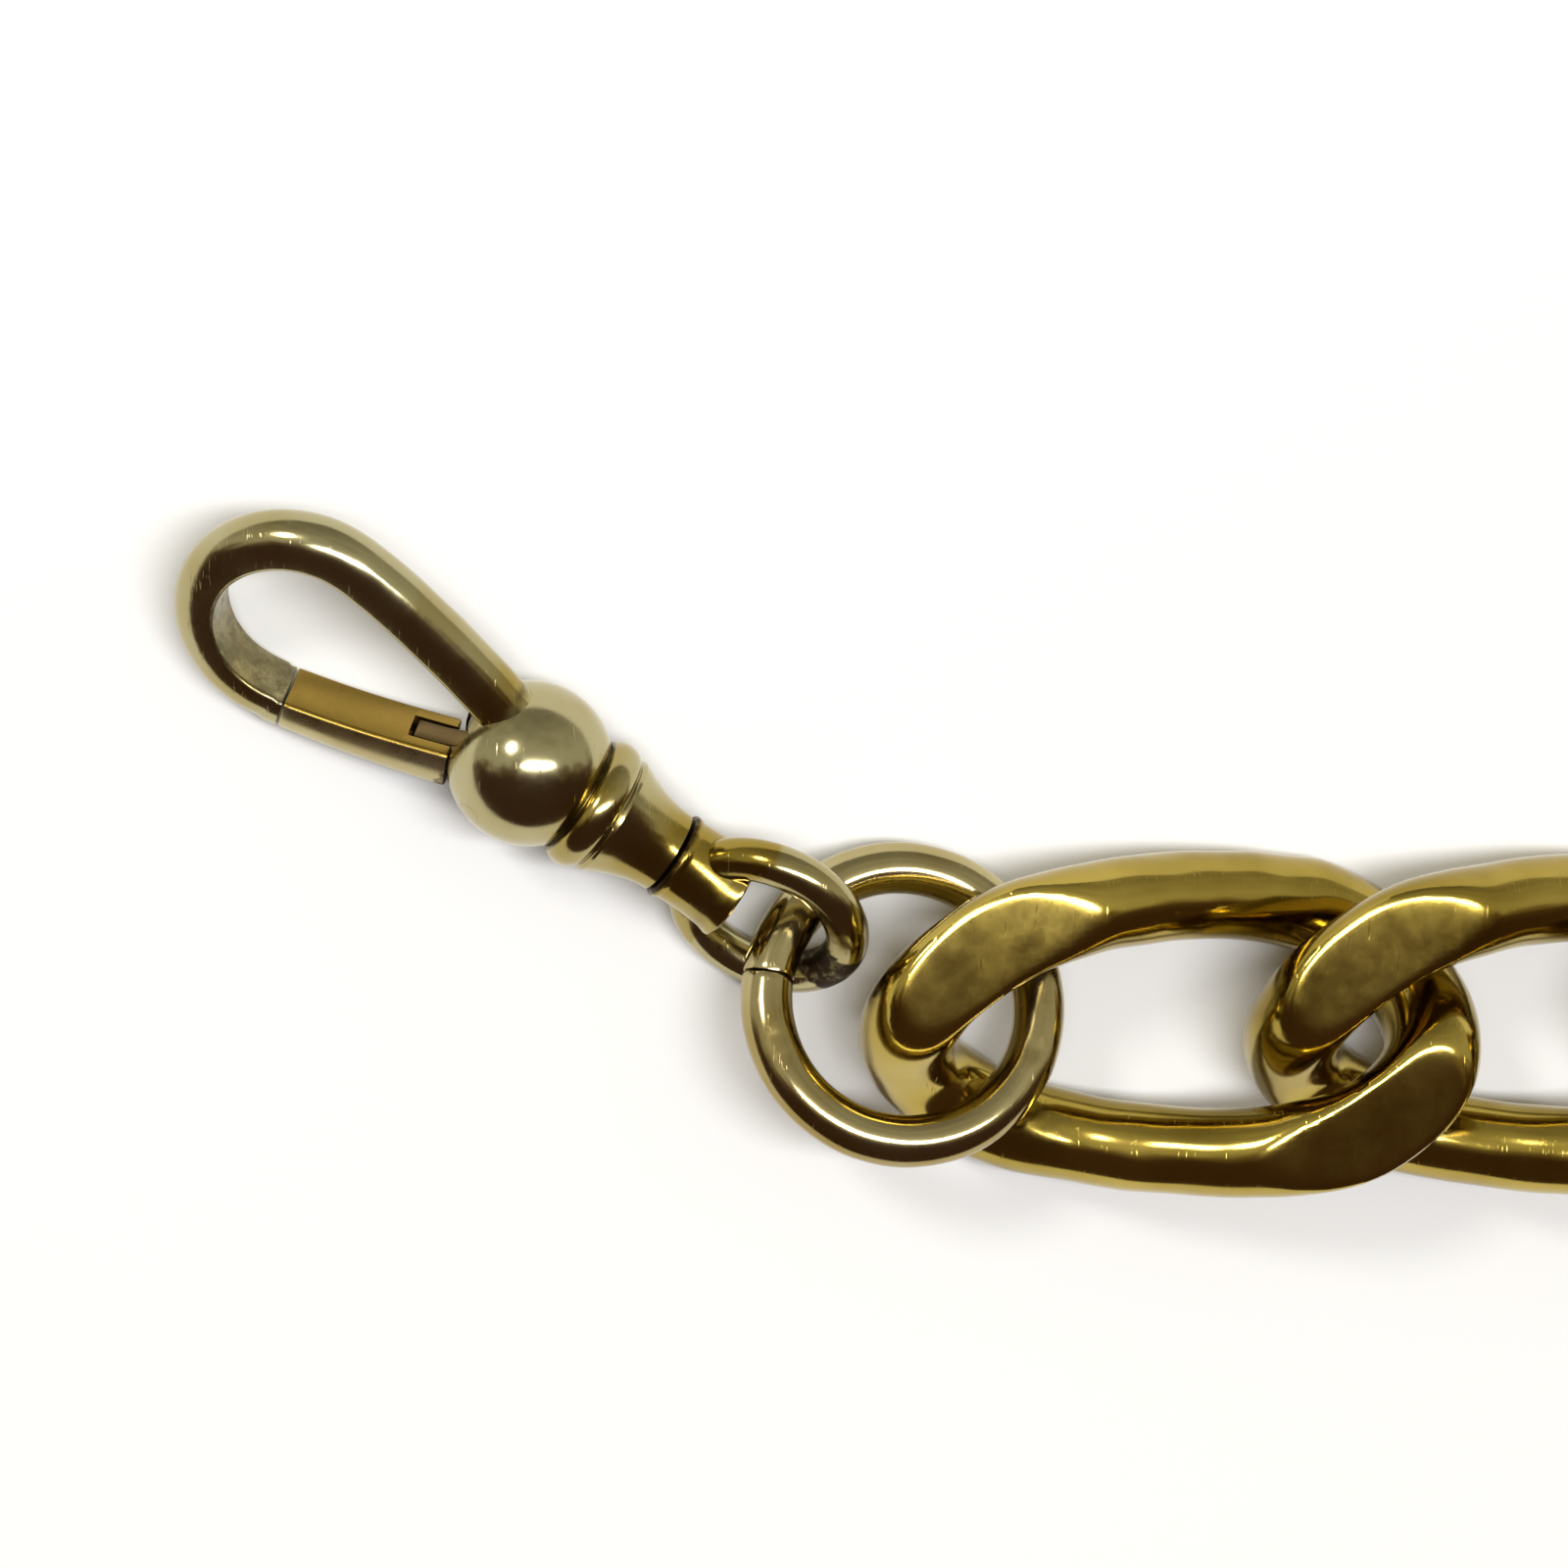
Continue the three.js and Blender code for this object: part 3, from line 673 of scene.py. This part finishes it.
SEAM_ANGLE = math.radians(168)
NICK_ANGLES = (196, 204, 338)  # degrees round the ring, where pliers have held it


def nick(bm, centre, size, depth):
    """A small dent from a file or pliers."""
    bm.normal_update()
    for vert in bm.verts:
        near = math.exp(-((vert.co - centre).length / size) ** 2)
        if near > 0.02:
            vert.co -= vert.normal * depth * near


class OBJECT_OT_watch_chain_rings(bpy.types.Operator):
    """Make the two jump rings, each with its butt seam"""
    bl_idname = "object.watch_chain_rings"
    bl_label = "Jump Rings"

    def execute(self, context):
        sizes = context.scene.watch_chain_rings
        radius = sizes.radius / MM
        wire = sizes.wire / MM
        gap = sizes.seam / sizes.radius
        rings = (
            ("jump_ring_clasp", "eye_round_clasp_ring", LINKS[0], True),
            ("jump_ring_bar", "bar_round_ring", LINKS[-1], False),
        )
        for number, (node, joint, link, at_clasp) in enumerate(rings):
            bm = torus(radius, wire, 128, 28, SEAM_ANGLE + gap / 2, math.tau - gap)
            soften_edges(bm, 0.05)
            hand_worked(bm, 0.02, 1.3, number + 31)
            for angle in NICK_ANGLES:
                way = math.radians(angle)
                spot = Vector((math.cos(way), math.sin(way), 0)) * radius
                nick(bm, spot + Vector((0, 0, wire / 2)), 0.28, 0.07)
            # The dark colour is laid on each ring's arc beyond 2.6 mm along its +X side.
            add_piece(
                bm, f"wire_{node}", ring_place(joint, link, at_clasp), ring_gold(), node,
                [node], lambda co: 0.25 if co.x > 2.6 else 0.0)
        return {"FINISHED"}


# ---- Swivel: eye, collar and rivet ------------------------------------------------------------

class OBJECT_OT_watch_chain_eye(bpy.types.Operator):
    """Make the swivel's eye with its collar"""
    bl_idname = "object.watch_chain_eye"
    bl_label = "Swivel Eye"

    def execute(self, context):
        place = clasp_place() @ Matrix.Rotation(EYE_ROLL - CLASP_ROLL, 4, "X")
        rim = COLLAR_START - COLLAR_GAP_CLOSED
        collar = turned([
            (rim, 0.85), (rim, 1.38), (rim + 0.04, 1.45), (rim + 0.1, 1.48),
            (rim + 0.24, 1.48), (rim + 0.32, 1.44), (rim + 0.42, 1.42), (rim + 1.2, 1.43),
            (COLLAR_END - 0.2, 1.5), (COLLAR_END + 0.1, 1.6), (COLLAR_END + 0.2, 1.6),
            (COLLAR_END + 0.26, 1.54), (COLLAR_END + 0.26, 1.1), (COLLAR_END - 0.02, 1.0),
            (COLLAR_END - 0.02, 0.85), (rim, 0.85),
        ])
        half_turn = math.radians(180 - 22)
        wire = torus(2.7, 1.4, 96, 28, -half_turn, 2 * half_turn)
        bmesh.ops.translate(wire, vec=(EYE_CENTRE, 0, 0), verts=wire.verts)
        hand_worked(wire, 0.02, 1.4, 5)
        eye = combined(collar, wire, "UNION")

        # Painted shade on the collar's end face and bore, against the head, and round the eye's root
        # at the collar.
        def crevice_shade_and_dirt(co):
            across = math.hypot(co.y, co.z)
            near_collar = 1 if co.x < COLLAR_START + 0.02 or across < 1.1 else 0
            root = math.exp(-((co.x - COLLAR_END + 0.5) / 0.5) ** 2) * (1.2 < across < 1.75)
            return max(near_collar, 0.5 * root)

        add_piece(
            eye, "swivel_eye_and_collar", place, clasp_gold(), "swivel_eye", ["swivel_eye"],
            crevice_shade_and_dirt, tone_and_shade=lambda co: 1.4 if co.x < COLLAR_END + 0.3 else 0.2)
        return {"FINISHED"}


class OBJECT_OT_watch_chain_rivet(bpy.types.Operator):
    """Make the rivet that the swivel turns on"""
    bl_idname = "object.watch_chain_rivet"
    bl_label = "Swivel Rivet"

    def execute(self, context):
        head = COLLAR_END + GAP / 2
        bm = turned([
            (HEAD_END - 2.0, 0), (HEAD_END - 2.0, 0.55), (head, 0.55), (head, 0.78),
            (head + 0.04, 0.84), (head + 0.12, 0.84), (head + 0.22, 0.66), (head + 0.28, 0.4),
            (head + 0.3, 0),
        ], 40)
        # Painted shade on the rivet's shank inside the collar, and a little on its head.
        add_piece(
            bm, "swivel_rivet_head", clasp_place(), gate_gold(), "clasp", ["swivel_rivet"],
            lambda co: 0.8 if co.x < head + 0.05 else 0.1)
        return {"FINISHED"}


# ---- Clasp head, hook, gate -------------------------------------------------------------------

def arc_points(centre, radius, start, end, count):
    """Points on a circle, start and end in degrees."""
    points = []
    for i in range(count + 1):
        angle = math.radians(start + (end - start) * i / count)
        points.append((centre[0] + radius * math.cos(angle), centre[1] + radius * math.sin(angle)))
    return points


def head_profile():
    face = math.sqrt(BALL_RADIUS ** 2 - BALL_FLAT ** 2)
    front = math.degrees(math.atan2(face, -BALL_FLAT))
    bead_middle = (BEAD_START + BEAD_END) / 2
    bell_start = BEAD_END + 0.1
    bell_length = HEAD_END - bell_start
    points = [(-BALL_FLAT, 0), (-BALL_FLAT, face - 0.1)]
    points += arc_points((0, 0), BALL_RADIUS, front - 2.5, 46, 22)
    points += [(BEAD_START - 0.04, 1.83), (BEAD_START + 0.02, 1.84)]
    for i in range(13):
        angle = math.pi * (0.06 + 0.84 * i / 12)
        along = bead_middle - 0.56 * math.cos(angle)
        points.append((along, BEAD_RADIUS - 0.38 + 0.38 * math.sin(angle)))
    points += [(BEAD_END - 0.02, 1.98), (BEAD_END + 0.03, 1.97), (BEAD_END + 0.06, 2.0)]
    points += [(bell_start, 2.03), (bell_start + 0.1, 2.04), (bell_start + 0.2, 1.99)]
    for i in range(1, 12):
        share = i / 12
        fall = 1 - (1 - share) ** 1.7
        along = bell_start + 0.2 + (bell_length - 0.32) * share
        points.append((along, BELL_RADIUS - (BELL_RADIUS - BELL_END_RADIUS) * fall))
    points += [(HEAD_END - 0.04, BELL_END_RADIUS), (HEAD_END, BELL_END_RADIUS - 0.06)]
    points += [(HEAD_END, 0.85), (HEAD_END - 2.3, 0.85), (HEAD_END - 2.3, 0)]
    return points


def head_crevice_shade(co):
    """Painted shade in the grooves, round the mouth and in the swivel's gap."""
    across = math.hypot(co.y, co.z)
    groove = 0.8 * math.exp(-((co.x - BEAD_START + 0.02) / 0.1) ** 2)
    ridge = 0.5 * math.exp(-((co.x - BEAD_END) / 0.06) ** 2)
    mouth = 0.6 if co.x < -BALL_FLAT + 0.05 and across < 1.7 else 0.0
    return max(groove, ridge, mouth, 1.0 if co.x > HEAD_END - 0.01 else 0.0)


def gilt_in_grooves(co):
    """How much gilding is left: most beside the bead and at the bell's mouth."""
    bead = 1.0 * math.exp(-((co.x - BEAD_START - 0.1) / 0.45) ** 2)
    bell = 0.8 * math.exp(-((co.x - HEAD_END + 0.3) / 0.8) ** 2)
    return max(bead, bell)


class OBJECT_OT_watch_chain_head(bpy.types.Operator):
    """Make the clasp's turned head: ball, bead and bell"""
    bl_idname = "object.watch_chain_head"
    bl_label = "Clasp Head"

    def execute(self, context):
        head = turned(head_profile(), 96)
        mouth = block((-6, -6, -0.75), (0.35, 0.5, 0.75))
        head = combined(head, mouth, "DIFFERENCE")
        notch = block((-6, -6, -NOTCH_HALF), (-1.75, 0.62, NOTCH_HALF))
        head = combined(head, notch, "DIFFERENCE")
        head = combined(head, cross_rod(PIN, PIN_RADIUS + 0.004, 8, chamfer=0.01), "DIFFERENCE")
        add_piece(
            head, "clasp_head", clasp_place(), clasp_gold(), "clasp", ["clasp_body"],
            head_crevice_shade, sharp=28, tone_and_shade=gilt_in_grooves)
        pin = cross_rod(PIN, PIN_RADIUS, 6)
        ball = turned(arc_points((0, 0), BALL_RADIUS + 0.002, 180, 0, 48), 96)
        pin = combined(pin, ball, "INTERSECT")
        add_piece(
            pin, "gate_pin_rivet", clasp_place(), clasp_gold(), "clasp", ["gate_pin"])
        return {"FINISHED"}


def arm_section():
    """Half round outside, flat inside, with small rounded corners; +Y is the inside."""
    half = ARM_WIDTH / 2
    corner = 0.16
    outer = ARM_INNER - ARM_DEPTH
    points = arc_points((half - corner, ARM_INNER - corner), corner, 0, 90, 4)
    points += arc_points((corner - half, ARM_INNER - corner), corner, 90, 180, 4)
    points += arc_points((0, outer + half), half, 180, 360, 20)
    return points


def arm_places(points):
    """Places along an arm in the hook's plane, for a section whose +Y faces inwards."""
    places = []
    for i, point in enumerate(points):
        ahead = points[min(i + 1, len(points) - 1)] - points[max(i - 1, 0)]
        across = Vector((0, 0, 1)).cross(ahead.normalized())
        places.append(axes(point, across.cross(ahead), ahead))
    return places


def arm_mesh(places):
    bm = bmesh.new()
    edges = outline_edges(bm, arm_section(), closed=True)
    sweep(bm, edges, places)
    return bm


def hook_line():
    """Middle line of the fixed arm, from inside the ball round the crook to the tip."""
    first = math.radians(80)
    last = 2 * math.pi - math.acos((CROOK_CENTRE - CROOK_END) / CROOK_RADIUS)
    count = 64
    crook = []
    for i in range(count + 1):
        angle = first + (last - first) * i / count
        crook.append(Vector((
            CROOK_RADIUS * math.cos(angle) - CROOK_CENTRE,
            CROOK_RADIUS * math.sin(angle) - CROOK_DROP, 0)))
    way = (crook[1] - crook[0]).normalized()
    root = Vector((-0.7, ARM_ROOT - 0.25, 0))
    points = geometry.interpolate_bezier(
        root, root + Vector((-2.6, 0.95, 0)), crook[0] - way * 2.7, crook[0], 34)[:-1]
    straight = [gate_point(CROOK_END - step) for step in (0.2, 0.35, 0.45)]
    return points + crook + straight + [gate_point(SEAM + SEAM_GAP)]


def hook_crevice_shade(co):
    """Painted shade at the arm's root, and on the inside of the crook."""
    root = 0.6 * math.exp(-((co.x + 1.75) / 0.25) ** 2)
    inner = CROOK_RADIUS - ARM_INNER - Vector((co.x + CROOK_CENTRE, co.y + CROOK_DROP)).length
    inside = 0.55 * (inner > -0.12) * (co.x < -SEAM) * (co.y < 1.0)
    return max(root, inside)


class OBJECT_OT_watch_chain_hook(bpy.types.Operator):
    """Make the fixed arm and crook of the hook"""
    bl_idname = "object.watch_chain_hook"
    bl_label = "Hook"

    def execute(self, context):
        hook = arm_mesh(arm_places(hook_line()))
        soften_edges(hook, 0.06, math.radians(60))
        hand_worked(hook, 0.02, 1.6, 11)
        add_piece(
            hook, "hook_arm", hook_place(), clasp_gold(), "clasp", ["clasp_body"],
            hook_crevice_shade, sharp=40,
            tone_and_shade=lambda co: 1.3 * math.exp(-((co.x + 2.2) / 0.8) ** 2))
        return {"FINISHED"}


def gate_height(distance):
    share = (distance - GATE_SHOULDER) / (CROOK_END - GAP - GATE_SHOULDER)
    return -GATE_LOW + (GATE_TIP_HEIGHT + GATE_LOW) * share


def gate_point(distance):
    """A point on the gate's middle line, which bows outwards a little."""
    share = (distance - GATE_SHOULDER) / (CROOK_END - GATE_SHOULDER)
    bow = GATE_BOW * math.sin(math.pi * min(1.0, max(0.0, share)))
    return Vector((-distance, gate_height(distance) - bow, 0))


def gate_places():
    """Places along the gate, which grows deeper towards the ball; +Y is the inside."""
    count = 24
    points = []
    for i in range(count + 1):
        points.append(gate_point(SEAM + (GATE_SHOULDER - SEAM) * i / count))
    places = []
    for i, place in enumerate(arm_places(points)):
        deeper = Matrix.Diagonal((1, 1 + GATE_FLARE * i / count, 1, 1))
        flat = Matrix.Translation((0, ARM_INNER, 0))
        places.append(place @ flat @ deeper @ flat.inverted())
    return places


class OBJECT_OT_watch_chain_gate(bpy.types.Operator):
    """Make the sprung gate, with its tongue, tail and spring slot"""
    bl_idname = "object.watch_chain_gate"
    bl_label = "Gate"

    def execute(self, context):
        gate = arm_mesh(gate_places())
        soften_edges(gate, 0.06, math.radians(60))
        neck = block((-GATE_SHOULDER - 0.6, -GATE_LOW - 0.6, -0.45), (PIN.x, -GATE_LOW - 0.05, 0.45))
        gate = combined(gate, neck, "UNION")
        slot_end = GATE_SHOULDER + SLOT_LENGTH
        slot = plate([
            (-slot_end, gate_height(slot_end)), (1 - GATE_SHOULDER, gate_height(GATE_SHOULDER)),
            (1 - GATE_SHOULDER, 0), (-slot_end, 0),
        ], 1.0)
        gate = combined(gate, slot, "DIFFERENCE")
        gate = combined(gate, cross_rod(PIN, 0.95, 0.9), "UNION")
        gate = combined(gate, cross_rod(PIN, 0.45, 4, chamfer=0.01), "DIFFERENCE")

        # Painted shade in the corner of the spring slot and on the gate's end inside the ball.
        def crevice_shade_and_dirt(co):
            corner = max(0.0, 1 - (co.y - gate_height(-co.x)) / 0.25)
            in_slot = abs(co.z) < 0.51 and -slot_end - 0.05 < co.x < -GATE_SHOULDER + 0.3
            return max(0.9 * corner * in_slot, 0.7 if co.x > -GATE_SHOULDER + 0.02 else 0.0)

        def on_flat(co):
            return 1.0 if co.y - gate_point(-co.x).y > ARM_INNER - 0.04 else 0.0

        add_piece(
            gate, "hook_gate", hook_place(), gate_gold(), "gate", ["gate"],
            crevice_shade_and_dirt, sharp=30, tone_and_shade=on_flat)
        return {"FINISHED"}


class OBJECT_OT_watch_chain_spring(bpy.types.Operator):
    """Make the leaf spring that closes the gate"""
    bl_idname = "object.watch_chain_spring"
    bl_label = "Gate Spring"

    def execute(self, context):
        thickness = 0.22
        far = GATE_SHOULDER + SLOT_LENGTH - 0.25
        start = Vector((-far, gate_height(far) + 0.24, 0))
        knee = Vector((-GATE_SHOULDER, gate_height(GATE_SHOULDER) + 0.3, 0))
        end = Vector((-1.2, 0.02, 0))
        line = geometry.interpolate_bezier(start, knee, knee, end, 20)
        lower = [(p.x, p.y) for p in line]
        upper = [(p.x - 0.3 * thickness, p.y + thickness) for p in reversed(line)]
        leaf = plate(lower + upper, 0.8, soften=0.03)
        # Painted shade on the leaf's end inside the ball, and a little on the rest.
        add_piece(
            leaf, "gate_leaf_spring", hook_place(), spring_steel(), "gate", ["gate_spring"],
            lambda co: 0.6 if co.x > -2 else 0.2)
        return {"FINISHED"}


# ---- Toggle bar -------------------------------------------------------------------------------

BAR_HALF = 16.0
BAR_BALL = 1.9
BAR_COLLAR = 2.0
BAR_EYE_RADIUS = 2.2
BAR_SHANK = 1.5
EYE_WIRE = 1.4
BAR_EYE_CENTRE = BAR_COLLAR + BAR_SHANK + EYE_WIRE / 2 + BAR_EYE_RADIUS


def toggle_place():
    """The bar's middle, with X away from the chain and Y along the bar."""
    centre = middle("toggle_bar")
    ring = joint_point("bar_round_ring")
    heading = link_place(LINKS[-1]).col[0].to_3d().normalized()
    rise = ring.z - centre.z
    flat = math.sqrt(max(0.0, (BAR_EYE_CENTRE * MM) ** 2 - rise ** 2))
    along = heading * flat - Vector((0, 0, rise))
    return axes(centre, along, Vector((0, 0, 1)) + heading * 0.2)


def bar_profile():
    half = [(0, BAR_COLLAR - 0.06), (0.35, BAR_COLLAR - 0.06), (0.42, BAR_COLLAR)]
    half += [(1.25, BAR_COLLAR), (1.5, 1.85), (1.68, 1.62), (1.78, 1.5), (1.9, 1.52)]
    half += [(2.1, 1.62), (2.3, 1.6), (2.45, 1.45)]
    neck = BAR_HALF - BAR_BALL * 1.85
    for i in range(1, 9):
        share = i / 8
        half.append((2.45 + (neck - 0.5 - 2.45) * share, 1.42 - 0.42 * share ** 1.1))
    half += [(neck - 0.4, 1.2), (neck - 0.2, 1.3), (neck, 1.2), (neck + 0.08, 1.0)]
    centre = BAR_HALF - BAR_BALL
    half += arc_points((centre, 0), BAR_BALL, 147, 3, 20)
    half.append((BAR_HALF, 0))
    return [(-along, radius) for along, radius in reversed(half[1:])] + half


def bar_crevice_shade(co):
    """Painted shade beside the collar and in front of the end balls."""
    along = abs(co.y)
    collar = math.exp(-((along - 1.8) / 0.2) ** 2)
    neck = math.exp(-((along - BAR_HALF + BAR_BALL * 1.8) / 0.2) ** 2)
    return max(collar, neck) * 0.8


class OBJECT_OT_watch_chain_toggle(bpy.types.Operator):
    """Make the toggle bar and its eye"""
    bl_idname = "object.watch_chain_toggle"
    bl_label = "Toggle Bar"

    def execute(self, context):
        place = toggle_place()
        bar = turned(bar_profile(), 64)
        bmesh.ops.rotate(
            bar, verts=bar.verts, cent=(0, 0, 0), matrix=Matrix.Rotation(math.pi / 2, 3, "Z"))
        hand_worked(bar, 0.02, 1.8, 21)
        add_piece(
            bar, "turned_toggle_bar", place, clasp_gold(), "toggle", ["toggle_bar"],
            bar_crevice_shade, sharp=30)
        wire = torus(BAR_EYE_RADIUS, EYE_WIRE, 96, 28)
        turn = Matrix.Translation((-BAR_EYE_CENTRE, 0, 0)) @ Matrix.Rotation(math.pi / 2, 4, "X")
        bmesh.ops.transform(wire, matrix=turn, verts=wire.verts)
        inner = -BAR_COLLAR + 0.25
        shank = turned([
            (-BAR_COLLAR - BAR_SHANK - 0.5, 0), (-BAR_COLLAR - BAR_SHANK - 0.5, 0.72),
            (-BAR_COLLAR - 0.9, 0.72), (-BAR_COLLAR - 0.55, 0.8), (-BAR_COLLAR - 0.35, 0.85),
            (inner, 0.85), (inner, 0),
        ], 40)
        eye = combined(wire, shank, "UNION")
        # Painted shade on the shank where it goes into the bar.
        add_piece(
            eye, "toggle_eye_and_shank", place, ring_gold(), "toggle", ["toggle_eye"],
            lambda co: 0.7 if co.x > -BAR_COLLAR - 0.5 else 0.0, sharp=40)
        return {"FINISHED"}


# ---- Stage ------------------------------------------------------------------------------------

TABLE_HALF = 1.5
TABLE_BELOW = 0.02 * MM
VIEW_CENTRE = (-13.03, 7.84, 0)  # from the first link's middle, in millimetres
VIEW_WAY = Vector((-0.15, 0.15, 0.977)).normalized()  # from there to the camera
VIEW_ROLL = math.radians(1.87)
VIEW_DISTANCE = 0.16
VIEW_WIDTH = 50.56 * MM
SENSOR_WIDTH = 36
WINDOW_OFFSET = Vector((0.05, 0.045, 0.5))
WINDOW_DEPTH = 0.085
WINDOW_SHARE = 4.0
LAMP_OFFSET = Vector((-0.25, 0.22, 0.35))
LAMP_SIZE = 0.1
LAMP_SHARE = 1.2
ROOM_TONES = (
    (0.38, "48342A"), (0.48, "75634C"), (0.57, "CBC8B8"), (0.75, "BDB9A8"), (1.0, "8F8B7C"),
)  # from the dark side of the room to its pale side


def floor_material(colour):
    # Matt white card: plain and pale, so that it bounces soft light under the chain.
    card = bpy.data.materials.new("matt_white_card")
    card.use_nodes = True
    shader = card.node_tree.nodes["Principled BSDF"]
    shader.inputs["Base Color"].default_value = (*colour, 1)
    shader.inputs["Roughness"].default_value = 0.9
    shader.inputs["Specular IOR Level"].default_value = 0.1
    return card


def area_light(name, target, offset, width, height, power, colour):
    data = bpy.data.lights.new(name, "AREA")
    data.shape = "ELLIPSE"
    data.size = width
    data.size_y = height
    data.energy = power
    data.color = linear(colour)[:3]
    lamp = bpy.data.objects.new(name, data)
    lamp.matrix_world = axes(target + offset, Vector((1, 0, 0)), offset)
    bpy.context.scene.collection.objects.link(lamp)


def dim_room():
    """A room that is dark on the near side and pale on the far side, with an uneven edge."""
    world = bpy.data.worlds.new("dim_room")
    world.use_nodes = True
    tree = world.node_tree
    tree.nodes.clear()
    way = add_node(tree, "ShaderNodeTexCoord").outputs["Generated"]
    parts = add_node(tree, "ShaderNodeSeparateXYZ", {"Vector": way})
    uneven = add_node(tree, "ShaderNodeTexNoise", {"Vector": way, "Scale": 4.5, "Detail": 2.0})
    spread = add_node(tree, "ShaderNodeMath", {
        0: uneven.outputs["Fac"], 1: 0.8, 2: -0.4,
    }, operation="MULTIPLY_ADD")
    height = add_node(tree, "ShaderNodeMath", {
        0: parts.outputs["Y"], 1: spread.outputs["Value"],
    }, operation="ADD")
    side = add_node(tree, "ShaderNodeMapRange", {
        "Value": height.outputs["Value"], "From Min": -1.0, "From Max": 1.0,
    })
    tone = add_node(tree, "ShaderNodeValToRGB", {"Fac": side.outputs["Result"]})
    ramp = tone.color_ramp.elements
    for element, (place, colour) in zip(ramp, ROOM_TONES):
        element.position = place
        element.color = linear(colour)
    for place, colour in ROOM_TONES[len(ramp):]:
        ramp.new(place).color = linear(colour)
    glow = add_node(tree, "ShaderNodeBackground", {"Color": tone.outputs["Color"]})
    add_node(tree, "ShaderNodeOutputWorld", {"Surface": glow.outputs["Background"]})
    return world


class OBJECT_OT_watch_chain_stage(bpy.types.Operator):
    """Lay out the table, the lights and the camera"""
    bl_idname = "object.watch_chain_stage"
    bl_label = "Table and Light"

    def execute(self, context):
        settings = context.scene.watch_chain_stage
        self.lay_table(context, settings)
        target = middle(LINKS[0]) + Vector(VIEW_CENTRE) * MM
        area_light("window", target, WINDOW_OFFSET, settings.light_width, WINDOW_DEPTH,
                   settings.light * WINDOW_SHARE, "FAFBFF")
        area_light("lamp", target, LAMP_OFFSET, LAMP_SIZE, LAMP_SIZE,
                   settings.light * LAMP_SHARE, "FFFDFA")
        context.scene.world = dim_room()
        self.set_camera(context, target)
        context.scene.view_settings.view_transform = "Standard"
        return {"FINISHED"}

    def lay_table(self, context, settings):
        bm = bmesh.new()
        bmesh.ops.create_grid(bm, x_segments=1, y_segments=1, size=TABLE_HALF)
        bmesh.ops.translate(bm, vec=(0, 0, -TABLE_BELOW), verts=bm.verts)
        mesh = bpy.data.meshes.new("table_top")
        bm.to_mesh(mesh)
        bm.free()
        mesh.materials.append(floor_material(settings.floor_colour))
        table = bpy.data.objects.new("table_top", mesh)
        context.scene.collection.objects.link(table)

    def set_camera(self, context, target):
        level = Vector((-math.sin(VIEW_ROLL), math.cos(VIEW_ROLL), 0))
        up = (level - VIEW_WAY * level.dot(VIEW_WAY)).normalized()
        turn = Matrix((up.cross(VIEW_WAY), up, VIEW_WAY)).transposed().to_4x4()
        data = bpy.data.cameras.new("camera")
        data.sensor_width = SENSOR_WIDTH
        data.lens = SENSOR_WIDTH * VIEW_DISTANCE / VIEW_WIDTH
        data.clip_start = 0.01
        data.clip_end = 10
        camera = bpy.data.objects.new("camera", data)
        camera.matrix_world = Matrix.Translation(target + VIEW_WAY * VIEW_DISTANCE) @ turn
        context.scene.collection.objects.link(camera)
        context.scene.camera = camera


class VIEW3D_PT_watch_chain(bpy.types.Panel):
    """Lists the chain's pieces and their sizes"""
    bl_idname = "VIEW3D_PT_watch_chain"
    bl_label = "Watch Chain"
    bl_space_type = "VIEW_3D"
    bl_region_type = "UI"
    bl_category = "Watch Chain"

    def draw(self, context):
        layout = self.layout
        for group in ("watch_chain_links", "watch_chain_rings", "watch_chain_stage"):
            settings = getattr(context.scene, group)
            for name in settings.__annotations__:
                layout.prop(settings, name)
        for operator in OPERATORS:
            layout.operator(operator.bl_idname)


OPERATORS = (
    OBJECT_OT_watch_chain_links,
    OBJECT_OT_watch_chain_rings,
    OBJECT_OT_watch_chain_eye,
    OBJECT_OT_watch_chain_rivet,
    OBJECT_OT_watch_chain_head,
    OBJECT_OT_watch_chain_hook,
    OBJECT_OT_watch_chain_gate,
    OBJECT_OT_watch_chain_spring,
    OBJECT_OT_watch_chain_toggle,
    OBJECT_OT_watch_chain_stage,
)
SETTINGS = {
    "watch_chain_links": WatchChainLinkSettings,
    "watch_chain_rings": WatchChainRingSettings,
    "watch_chain_stage": WatchChainStageSettings,
}


def register():
    for group in SETTINGS.values():
        bpy.utils.register_class(group)
    for operator in OPERATORS:
        bpy.utils.register_class(operator)
    bpy.utils.register_class(VIEW3D_PT_watch_chain)
    for name, group in SETTINGS.items():
        setattr(bpy.types.Scene, name, PointerProperty(type=group))


def unregister():
    for name in SETTINGS:
        delattr(bpy.types.Scene, name)
    bpy.utils.unregister_class(VIEW3D_PT_watch_chain)
    for operator in reversed(OPERATORS):
        bpy.utils.unregister_class(operator)
    for group in SETTINGS.values():
        bpy.utils.unregister_class(group)


def main():
    register()
    for operator in OPERATORS:
        area, name = operator.bl_idname.split(".")
        getattr(getattr(bpy.ops, area), name)()


if __name__ == "__main__":
    main()
